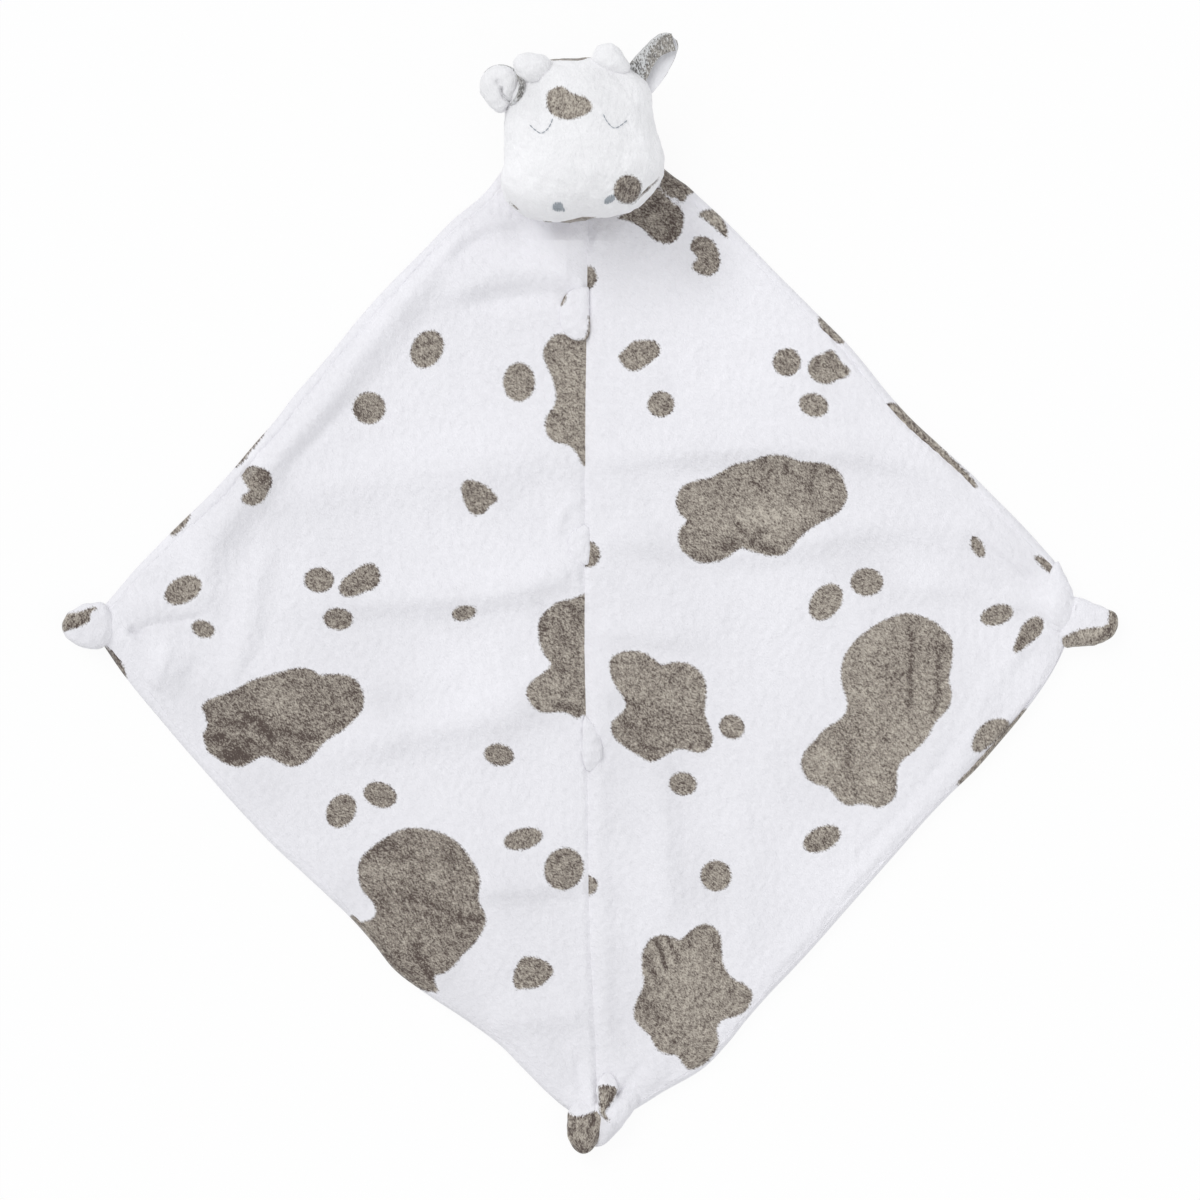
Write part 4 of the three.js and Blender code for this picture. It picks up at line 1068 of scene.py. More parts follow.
class LOVEY_OT_front(bpy.types.Operator):
    """Front of the blanket: two triangles of plush sewn along the centre seam"""
    bl_idname = "lovey.front"
    bl_label = "Front of the blanket"

    def execute(self, context):
        s = sizes()
        # Lines close together from just under the roll to just inside it, then even ones
        near = np.array([-1.1, -0.7, -0.35, 0, 0.5, 1.1, 1.9, 3.0, 4.4, 6.0]) * MM / s.side
        near += s.roll_width / s.side
        middle = np.linspace(near[-1], 1 - near[-1], 300)[1:-1]
        stations = np.concatenate([near, middle, 1 - near[::-1]])
        obj = grid("front_master", len(stations) - 1, len(stations) - 1)
        [(u, v)] = read_grid(obj, stations)
        x, y = coons(*wandered(u, v), cloth_edges()).T
        # Cut beside the seam while the seam is straight
        move_points(obj, np.stack([x - seam_place(y), y, 0 * u], 1))
        for offset in (0, -1.5, 1.5, -3.2, 3.2):
            cut(obj, (offset * MM, 0, 0), (1, 0, 0))
        flat = points_of(obj)
        flat[:, 0] += seam_place(flat[:, 1])
        move_points(obj, flat)
        cut_at_folds(obj)
        [(u, v)] = read_grid(obj, stations)
        flat = points_of(obj)
        x, y = flat[:, 0], flat[:, 1]
        flat[:, 2] = front_height(x, y, way_in(u, v) - s.roll_width)
        move_points(obj, flat)
        set_vectors(obj, "pile", np.stack([u * s.side, v * s.side, 0 * u], 1))
        x, y, corner = face_middles(obj)
        from_seam = x - seam_place(y)
        for side, on_side, spots in (("left", from_seam < 0, LEFT_SPOTS),
                                     ("right", from_seam > 0, RIGHT_SPOTS)):
            for place in ("middle", side, "bottom", "top"):
                piece = part_of(obj, f"front_{side}_{place}", (corner == place) & on_side)
                set_value(piece, "print", print_on(piece, spots))
                nodes = [f"front_cloth_{side}_{'corner' if place == side else place}"]
                if side == "left" and place != side:
                    nodes.append(f"seam_allowance_{place}")
                finish_sheet(piece, s.ply, nodes, place)
        discard(obj)
        return {"FINISHED"}


class LOVEY_OT_back(bpy.types.Operator):
    """Back of the blanket: one square of plush whose edge rolls round to the front"""
    bl_idname = "lovey.back"
    bl_label = "Back of the blanket"

    # The edge in section: the way in from the outline and the height, in millimetres, from the
    # seam over the roll and under, drawn for a roll of a given width. One of its rows is the
    # outline, and the underside begins at another
    SECTION = [(5.2, 4.9), (4.7, 5.45), (4.2, 5.82), (3.6, 5.9), (2.9, 5.78), (2.1, 5.4),
               (1.3, 4.75), (0.55, 3.85), (0.1, 2.9), (0.0, 2.1), (0.3, 1.3), (1.1, 0.6),
               (2.5, 0.25), (5.2, 0.15)]
    SECTION_ROLL = 4.5
    OUTLINE_ROW, UNDER_ROW = 9, 11
    # The spots that are whole, which the underside repeats
    WHOLE_LEFT, WHOLE_RIGHT = LEFT_SPOTS[:18], RIGHT_SPOTS[:22]

    def execute(self, context):
        s = sizes()
        inward, height = np.array(self.SECTION).T * MM
        inward = inward * s.roll_width / (self.SECTION_ROLL * MM)
        inner = np.linspace(inward[-1], s.side - inward[-1], 150)[1:-1]
        stations = np.concatenate([inward, inner, s.side - inward[::-1]]) / s.side
        levels = np.concatenate([height, np.full(len(inner), height[-1]), height[::-1]])
        index = np.arange(len(stations))
        rows = np.clip(np.minimum(index, index[::-1]), 0, len(self.SECTION))
        obj = grid("back_master", len(stations) - 1, len(stations) - 1)
        u, v, z, _ = self.laid_out(obj, stations, rows, levels)
        x, y = coons(*wandered(u, v), cloth_edges()).T
        move_points(obj, np.stack([x, y, z], 1))
        cut_at_folds(obj)
        u, v, _, row = self.laid_out(obj, stations, rows, levels)
        p = points_of(obj)
        x, y = p[:, 0], p[:, 1]
        rising = smooth((self.OUTLINE_ROW - row) / 7)
        p[:, 2] += (swell_height(x, y) + 0.25 * MM * ripples(x, y, 24 * MM, 21)) * rising
        p[:, 2] -= edge_crease(x, y) * smooth((5 - row) / 3)
        move_points(obj, p)
        # The pile of the roll and that of the underside are kept apart
        apart = np.where(row < self.OUTLINE_ROW, -4 * MM, 4 * MM)
        set_vectors(obj, "pile", np.stack([u * s.side, v * s.side, apart], 1))
        set_value(obj, "print", np.minimum(print_distance(x, y, EDGE_SPOTS),
                                           self.under_print(x, y, row, way_in(u, v))))
        # The face of the cloth looks down and outwards
        edit_all(obj, bpy.ops.mesh.flip_normals)
        _, _, corner = face_middles(obj)
        for place in ("middle", "left", "right", "bottom", "top"):
            piece = part_of(obj, f"back_{place}", corner == place)
            finish_sheet(piece, 1.0 * MM, [f"back_cloth_{place}"], place)
        discard(obj)
        return {"FINISHED"}

    def laid_out(self, obj, stations, rows, levels):
        """Places along the cloth, the height, and the row of the section at each point."""
        (u, v), row, z = read_grid(obj, stations, rows, levels)
        return u, v, np.where(row[0] < row[1], z[0], z[1]), row.min(0)

    def under_print(self, x, y, row, inset):
        """Print of the underside: the same spots turned a quarter, none of them at the edge."""
        turned_x, turned_y = -(y + 12 * MM), x - 12 * MM
        under = np.minimum(print_distance(turned_x, turned_y, self.WHOLE_LEFT),
                           print_distance(turned_x, turned_y, self.WHOLE_RIGHT))
        return np.where(row < self.UNDER_ROW, FAR, under + np.clip(9 * MM - inset, 0, FAR) * 2)


# Stuffed pieces and knots


def ball(name, segments, rings):
    """A round start whose points are then placed."""
    deselect()
    bpy.ops.mesh.primitive_uv_sphere_add(segments=segments, ring_count=rings, radius=1)
    return added(name)


def on_ball(obj):
    """Each point's way round and its height above the middle, as shares of a right angle."""
    p = points_of(obj)
    return np.arctan2(p[:, 1], p[:, 0]), np.arcsin(np.clip(p[:, 2], -1, 1)) / QUARTER_TURN


def radius_round(outline, centre):
    """A function that gives an outline's radius for each direction from its centre."""
    loop = curve_through(places(outline), 240, closed=True) - centre
    turn = np.arctan2(loop[:, 1], loop[:, 0])
    order = np.argsort(turn)
    turn, far = turn[order], np.linalg.norm(loop, axis=1)[order]
    turn = np.concatenate([turn - 2 * math.pi, turn, turn + 2 * math.pi])
    far = np.tile(far, 3)
    return lambda way: np.interp(way, turn, far)


def pillow(name, outline, middle, up, down, square, segments, rings):
    """A plump form: its outline in pixels, the height of its middle and its two depths in
    millimetres, and a power that makes its sides steeper the smaller it is."""
    obj = ball(name, segments, rings)
    way, rise = on_ball(obj)
    centre = places(outline).mean(0)
    far = radius_round(outline, centre)(way)
    out = far * np.abs(np.cos(rise * QUARTER_TURN)) ** square
    lift = np.sign(rise) * np.abs(np.sin(rise * QUARTER_TURN)) ** square
    z = (middle + np.where(rise > 0, up, down) * lift) * MM
    move_points(obj, np.stack([centre[0] + out * np.cos(way), centre[1] + out * np.sin(way), z], 1))
    return obj


def roll_round(obj, line, along, half_width, half_height, share):
    """Wraps a ball round a line: where on the line each point is, and the half sizes there."""
    way, rise = on_ball(obj)
    side = np.cross(along, (0, 0, 1.0))
    side /= np.maximum(np.linalg.norm(side, axis=-1, keepdims=True), 1e-6)
    up = np.cross(side, along)
    thin = np.abs(np.cos(rise * QUARTER_TURN)) ** 0.5
    wide, high = half_width * thin * np.cos(way), half_height * thin * np.sin(way)
    move_points(obj, read_rows(line, share) + side * wide[:, None] + up * high[:, None])


def strand(name, path, segments=28, rings=34):
    """A roll of gathered cloth along a path: (pixel x, pixel y, height, half width, half
    thickness) at each of its points, the last three in millimetres."""
    obj = ball(name, segments, rings)
    table = np.array([(*at(px, py), z * MM, w * MM, t * MM) for px, py, z, w, t in path])
    line = curve_through(table, 80)
    share = (on_ball(obj)[1] + 1) / 2 * (len(line) - 1)
    along = read_rows(np.gradient(line[:, :3], axis=0), share)
    along /= np.linalg.norm(along, axis=1)[:, None]
    half_width, half_height = read_rows(line[:, 3:], share).T
    roll_round(obj, line[:, :3], along, half_width, half_height, share)
    return obj


def melt(name, parts):
    """Several forms made one, with soft creases where they meet."""
    obj = join(name, parts)
    apply_modifier(obj, "REMESH", mode="VOXEL", voxel_size=0.8 * MM, adaptivity=0)
    apply_modifier(obj, "SMOOTH", factor=0.5, iterations=6)
    return obj


def roughen(obj, length, depth, seed):
    """A little unevenness along the surface's own directions; length and depth in mm."""
    x, y, z = points_of(obj).T
    normal = rows_of(obj.data.vertex_normals, "vector", 3)
    wave = (ripples(x + z * 0.7, y - z * 0.6, length * MM, seed)
            + ripples(x - z * 0.8, y + z * 0.5, length * MM, seed + 1)) / 2
    move_points(obj, points_of(obj) + normal * (wave * depth * MM)[:, None])


def groove(obj, line, width, depth):
    """Presses a crease into the top along a line in pixels; width in pixels, depth in mm."""
    p = points_of(obj)
    away, share = line_distance(p[:, 0], p[:, 1], curve_through(places(line), 20))
    above = smooth((p[:, 2] - p[:, 2].min()) / np.ptp(p[:, 2]) * 2 - 0.6)
    p[:, 2] -= depth * MM * ends_faded(share, 6, 0.2) * above * bell(away, width * PIXEL)
    move_points(obj, p)


def keep_above(obj, level=0.15 * MM):
    """Nothing below the level that the blanket lies on."""
    p = points_of(obj)
    p[:, 2] = np.maximum(p[:, 2], level)
    move_points(obj, p)


def plain_pile(obj, print_values=FAR):
    """Pile that follows the piece's own resting form, its print, and smooth shading."""
    p = points_of(obj)
    set_vectors(obj, "pile", p)
    set_value(obj, "print", np.ones(len(p)) * print_values)
    shade(obj)


class LOVEY_OT_knots(bpy.types.Operator):
    """Knots of the three lower corners, each with the cloth's end beyond it"""
    bl_idname = "lovey.knots"
    bl_label = "Knots and tails"

    def execute(self, context):
        self.left()
        self.right()
        self.bottom()
        return {"FINISHED"}

    def dress(self, obj, spots, nodes, body=None, bend=None):
        """Surface, print and finish of one piece of a knot."""
        roughen(obj, length=7, depth=0.3, seed=31)
        keep_above(obj)
        plain_pile(obj, print_on(obj, spots))
        finish_piece(obj, "white_plush", nodes, body, bend)

    def left(self):
        """One rounded lump: the wrap, and the end that sticks out of it"""
        outline = [(101, 602.5), (92, 603), (83, 604), (74, 609), (66, 615), (62, 623.5),
                   (63.5, 633), (70, 641), (79, 646.5), (91, 649), (102, 647.5), (110, 641),
                   (113, 630), (112, 617), (108, 607)]
        obj = pillow("knot_and_end_left", outline, middle=6.8, up=5.9, down=6.4, square=0.66,
                     segments=72, rings=44)
        groove(obj, [(107, 604), (109, 612), (110, 624), (109, 636), (103, 646)], width=3.4,
               depth=0.5)
        groove(obj, [(66, 620), (78, 613.5), (90, 610)], width=1.3, depth=0.7)
        stripe = [(57, 634), (60, 618), (68, 613.5), (78, 612), (86, 609.5), (96, 606.5), (96, 609),
                  (90, 614), (91, 619), (86, 624), (76, 628), (66, 631)]
        self.dress(obj, [stripe], ["knot_left", "tail_left"],
                   bend=("left_corner", "left_tail", (-236 * MM, -16.9 * MM, 0),
                         (-243 * MM, -17.3 * MM, 0)))

    def right(self):
        """A smooth bulge, and a flatter end beyond it that is grey along its lower side"""
        outline = [(1058, 561), (1064, 571), (1071, 586), (1075.5, 602), (1073, 617),
                   (1066, 629), (1056, 632), (1047, 625), (1042, 606), (1045, 586), (1051, 570)]
        bulge = pillow("knot_bulge_right", outline, middle=6.0, up=4.1, down=5.4, square=0.7,
                       segments=72, rings=44)
        self.dress(bulge, [], ["knot_right"], "right_corner")
        outline = [(1060, 606), (1074, 596.5), (1094, 603), (1113, 611.5), (1118.5, 618.5),
                   (1116.5, 630), (1106, 641.5), (1090, 645.5), (1074, 647), (1064, 646.5),
                   (1060, 632)]
        end = pillow("end_right", outline, middle=4.6, up=4.6, down=4.2, square=0.5,
                     segments=60, rings=36)
        band = [(1055, 645), (1063, 637), (1072, 633), (1082, 629), (1096, 627.5), (1106, 625.5),
                (1109, 620), (1110, 609), (1124, 606), (1124, 640), (1104, 656), (1055, 656)]
        self.dress(end, [band], ["tail_right"],
                   bend=("right_corner", "right_tail", (233 * MM, -9 * MM, 0),
                         (240 * MM, -10.5 * MM, 0)))

    def bottom(self):
        """A loop of cloth over a core, wrapped from the right, and a rounded end below"""
        wrap = strand("wrap", [(644, 1080, 4, 5, 2.2), (630, 1096, 6.4, 6.2, 3.4),
                               (617, 1112, 8, 6.2, 4.6), (609, 1126, 8, 5.6, 4.8),
                               (602, 1139, 6.5, 4.4, 4), (593, 1149, 4, 3, 3)])
        core = strand("core", [(598, 1092, 4, 6, 3), (598, 1108, 6, 7, 4), (600, 1124, 6, 6, 5)])
        loop = strand("loop", [(608, 1072, 7, 6.2, 1.8), (607.5, 1082, 10, 6.0, 2),
                               (607, 1090, 11.4, 5.6, 2.2), (606, 1098, 11.8, 4.4, 2.2),
                               (603.5, 1106, 11.8, 2.8, 2), (602.5, 1111, 11.6, 1.8, 1.8),
                               (606, 1117, 11.2, 1.3, 1.4), (609, 1122, 10.2, 1, 1)])
        spot = [(598.5, 1087), (606, 1085), (617, 1088), (614.5, 1098), (609, 1106),
                (606, 1112), (609.5, 1121), (606.5, 1120), (600, 1113), (599, 1098)]
        self.dress(melt("knot_wrap_bottom", [wrap, core, loop]), [spot], ["knot_bottom"],
                   "bottom_corner")
        outline = [(570, 1108), (567, 1122), (567.5, 1136), (572, 1147), (579, 1152.5),
                   (587, 1153.5), (594, 1148), (600, 1137), (604, 1124), (604, 1112),
                   (594, 1102), (580, 1101)]
        end = pillow("end_bottom", outline, middle=6.2, up=4.9, down=5.8, square=0.6,
                     segments=60, rings=36)
        groove(end, [(594, 1112), (592, 1122), (588, 1134)], width=2.0, depth=0.7)
        tip = [(560, 1112), (570, 1113.5), (576, 1116.5), (584, 1116), (593, 1111.5),
               (602, 1110), (612, 1120), (606, 1150), (590, 1165), (560, 1150)]
        self.dress(end, [tip], ["tail_bottom"],
                   bend=("bottom_corner", "bottom_tail", (4 * MM, -249 * MM, 0),
                         (2.2 * MM, -256 * MM, 0)))


class LOVEY_OT_tufts(bpy.types.Operator):
    """Three soft tufts caught in the centre seam"""
    bl_idname = "lovey.tufts"
    bl_label = "Tufts"

    # Each tuft's height in millimetres, the side that it lies on, its outline and where it is
    # darkened: a grey tick and a dark sliver at the edge of the upper one
    TUFTS = {
        "upper": (2.7, -1, [(589, 288), (580, 287), (570, 291), (563, 298), (560, 308), (560, 320),
                            (563, 331), (570, 338), (580, 341), (588, 338), (590, 326), (589, 306)],
                  [[(560, 296), (566, 293), (566, 299), (563, 305), (558, 304)],
                   [(588, 316), (592, 322), (592, 336), (585, 344), (574, 344), (568, 339),
                    (575, 340), (583, 339), (587, 333), (588.5, 326)]]),
        "middle": (1.8, -1, [(588, 526), (578, 528), (570, 535), (568, 545), (571, 555), (579, 562),
                             (588, 564), (590, 546)], []),
        "lower": (2.2, 1, [(584, 716), (591, 722), (598, 732), (602, 744), (602, 757), (597, 767),
                           (588, 771), (583, 762), (582, 740)], []),
    }

    def execute(self, context):
        middle = sizes().cloth_top / MM + 0.2
        for name, (height, side, outline, spots) in self.TUFTS.items():
            obj = pillow(f"tuft_flap_{name}", outline, middle, up=height, down=1.6, square=0.95,
                         segments=56, rings=32)
            roughen(obj, length=5, depth=0.25, seed=41)
            plain_pile(obj, print_on(obj, spots))
            y = points_of(obj)[:, 1].mean()
            finish_piece(obj, "white_plush", [f"tuft_{name}"],
                         bend=("blanket", f"{name}_tuft", (0, y, 0), (side * 3 * MM, y, 0)))
        return {"FINISHED"}


# Head

HEAD_SEAM = 28.1 * MM
FACE_RISE = 26 * MM
NAPE_DROP = 20 * MM
# The height of the seam as a share of the way to the top, and where it rises further and the back
# shows outside it: way round and width in degrees, and the rise
SEAM_LEVEL = 0.03
SEAM_RISES = [(-42, 20, 0.27), (-90, 14, 0.10), (-140, 14, 0.09), (100, 16, 0.17)]
# Powers that make the head's sides steeper and its top flatter, the smaller they are
SIDE_POWER, TOP_POWER = 0.54, 0.74
HORN_ROOTS = [(533, 80), (611, 74)]


def head_centre():
    """The middle of the head, seen from above."""
    low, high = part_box("head_stuffing")
    return np.array([(low.x + high.x) / 2, (low.y + high.y) / 2])


def head_form(way, rise):
    """Points of the head: the way round, and the height from the seam as a share."""
    centre = head_centre()
    seam = SEAM_LEVEL + sum(height * bell(way - math.radians(place), math.radians(width))
                            for place, width, height in SEAM_RISES)
    turn = seam + rise * np.where(rise > 0, 1 - seam, 1 + seam)
    out = np.abs(np.cos(turn * QUARTER_TURN)) ** SIDE_POWER
    lift = np.sign(turn) * np.abs(np.sin(turn * QUARTER_TURN)) ** TOP_POWER
    seam_groove = 1.1 * MM * bell(rise, 0.055)
    reach = radius_round(HEAD_OUTLINE, centre)(way) * out - seam_groove
    x, y = reach * np.cos(way), reach * np.sin(way)
    muzzle = bell(x, 23 * MM) * bell(y + 17 * MM, 15 * MM)
    brow = bell(x, 26 * MM) * bell(y - 19 * MM, 17 * MM)
    top = FACE_RISE + 2.6 * MM * muzzle - 0.8 * MM * brow
    for root in HORN_ROOTS:
        horn_x, horn_y = np.array(at(*root)) - centre
        top = top - 4 * MM * bell(np.hypot(x - horn_x, y - horn_y), 7 * MM)
    z = HEAD_SEAM + np.where(turn > 0, top, NAPE_DROP) * lift
    return np.stack([centre[0] + x, centre[1] + y, z], 1)


def back_print(points):
    """Signed distance to the spots of the head's back, round the head and up it."""
    centre = head_centre()
    way = np.arctan2(points[:, 1] - centre[1], points[:, 0] - centre[0])
    seam = head_form(way, np.zeros(len(way)))
    radius = np.linalg.norm(seam[:, :2] - centre, axis=1)
    out = np.full(len(points), FAR)
    for place, width, low, high in BACK_SPOTS:
        turn = (way - math.radians(place) + math.pi) % (2 * math.pi) - math.pi
        a = turn / math.radians(width)
        b = (points[:, 2] - seam[:, 2] + low * MM) / (high * MM)
        half_size = np.minimum(radius * math.radians(width), high * MM)
        out = np.minimum(out, ((np.abs(a) ** 3 + np.abs(b) ** 3) ** (1 / 3) - 1) * half_size)
    return out


def face_surface():
    """A search tree over the face panel, for what is sewn on it."""
    mesh = bpy.data.objects["head_face"].data
    return BVHTree.FromPolygons([v.co for v in mesh.vertices], [p.vertices for p in mesh.polygons])


def on_face(tree, px, py, lift):
    """The place on the face above a pixel, so many millimetres above the surface."""
    x, y = at(px, py)
    hit, normal, _, _ = tree.ray_cast(Vector((x, y, 0.2)), Vector((0, 0, -1)))
    return hit + normal * (lift * MM)


class LOVEY_OT_head(bpy.types.Operator):
    """Stuffed head: a face panel and a back panel sewn together round the edge"""
    bl_idname = "lovey.head"
    bl_label = "Head"

    def execute(self, context):
        obj = ball("head_master", 200, 130)
        way, rise = on_ball(obj)
        move_points(obj, head_form(way, rise))
        for length, depth, seed in ((14, 0.45, 51), (5, 0.22, 53), (2.4, 0.12, 55)):
            roughen(obj, length, depth, seed)
        keep_above(obj, sizes().cloth_top - 0.6 * MM)
        set_vectors(obj, "pile", points_of(obj))
        above = np.array([rise[list(face.vertices)].sum() > 0 for face in obj.data.polygons])
        for name, kept, nodes in (("head_face", above, ["head_face_panel"]),
                                  ("head_back", ~above, ["head_back_panel", "head_stuffing"])):
            piece = part_of(obj, name, kept)
            distance = (print_on(piece, FACE_SPOTS) if name == "head_face"
                        else back_print(points_of(piece)))
            set_value(piece, "print", distance)
            apply_modifier(piece, "SOLIDIFY", thickness=1.6 * MM, offset=-1)
            shade(piece)
            finish_piece(piece, "head_plush", nodes, "head")
        discard(obj)
        return {"FINISHED"}


class LOVEY_OT_face_stitches(bpy.types.Operator):
    """Closed eyes and nostrils in thread"""
    bl_idname = "lovey.face_stitches"
    bl_label = "Face stitches"

    EYES = {
        "left": [(530, 128), (534, 132), (541, 136.5), (547, 133.5), (551, 127.5), (553, 122)],
        "right": [(603, 117.5), (606, 123.5), (611, 129.5), (615, 131.5), (621, 128.5),
                  (627, 123.5)],
    }
    NOSTRILS = {
        "left": [(553, 209), (556, 205), (561, 205), (563, 209), (564.5, 213.5), (559, 214),
                 (555, 213)],
        "right": ellipse(609.6, 202, 6.2, 3.4, 38),
    }
    SEEDS = {"left": 19, "right": 20}
    EYE_THREAD, NOSTRIL_THREAD = 0.27 * MM, 0.24 * MM

    def execute(self, context):
        tree = face_surface()
        for side in ("left", "right"):
            self.finish(f"eye_thread_{side}", self.eye(tree, self.EYES[side]),
                        f"eye_stitch_{side}")
        for side in ("left", "right"):
            self.finish(f"nostril_thread_{side}",
                        self.nostril(tree, self.NOSTRILS[side], self.SEEDS[side]),
                        f"nostril_{side}")
        return {"FINISHED"}

    def eye(self, tree, line):
        """Back stitches end to end along an arc."""
        count, steps = 7, 6
        path = curve_through(line, count * steps + 1)
        return [self.stitch([on_face(tree, *path[first + j], 0.3 * math.sin(math.pi * j / steps))
                             for j in range(steps + 1)], self.EYE_THREAD)
                for first in range(0, count * steps, steps)]

    def nostril(self, tree, outline, seed):
        """Satin stitches laid side by side across an oval."""
        loop = curve_through(outline, 90, closed=True)
        low, high = loop[:, 0].min(), loop[:, 0].max()
        rng = np.random.default_rng(seed)
        stitches = []
        for px in np.arange(low + 0.5, high, 0.85):
            rows = loop[np.abs(loop[:, 0] - px) < 0.6, 1]
            top = rows.min() - rng.uniform(0, 1)
            bottom = rows.max() + rng.uniform(0, 1)
            lean = rng.uniform(-0.9, 1.5)
            stitches.append(self.stitch(
                [on_face(tree, px + lean * (t - 0.5), top + (bottom - top) * t,
                         0.5 * math.sin(math.pi * t) - 0.1) for t in np.linspace(0, 1, 7)],
                self.NOSTRIL_THREAD))
        return stitches

    def stitch(self, points, radius):
        """One stitch: a thread that dips into the cloth at both ends."""
        obj = ball("stitch", 10, 8)
        line = np.array([tuple(q) for q in points])
        share = (on_ball(obj)[1] + 1) / 2 * (len(line) - 1)
        along = line[-1] - line[0]
        along /= np.linalg.norm(along)
        roll_round(obj, line, along, radius, radius, share)
        return obj

    def finish(self, name, stitches, node):
        """The stitches made one piece of thread."""
        obj = join(name, stitches)
        plain_pile(obj)
        finish_piece(obj, "grey_thread", [node], "head")


class LOVEY_OT_horns(bpy.types.Operator):
    """Two stuffed horns sewn into the top seam of the head"""
    bl_idname = "lovey.horns"
    bl_label = "Horns"

    # Each horn's outline, and the height of its middle in millimetres
    HORNS = {
        "left": ([(514, 64), (520, 57.5), (530, 55.5), (542, 57.5), (551, 64), (551, 72),
                  (545, 79.5), (536, 86), (528, 86), (520, 80), (515, 72)], 43),
        "right": ([(592.5, 60), (596, 50.5), (603, 46.5), (612, 46.5), (619, 52), (625.5, 60.5),
                   (630, 69), (627, 76), (616, 76.5), (602, 72.5), (593.5, 67)], 40.5),
    }

    def execute(self, context):
        for side, (outline, middle) in self.HORNS.items():
            obj = pillow(f"horn_nub_{side}", outline, middle, up=7, down=11, square=0.85,
                         segments=56, rings=34)
            roughen(obj, length=7, depth=0.3, seed=61)
            roughen(obj, length=3, depth=0.15, seed=63)
            plain_pile(obj)
            finish_piece(obj, "head_plush", [f"horn_{side}"], "head")
        return {"FINISHED"}


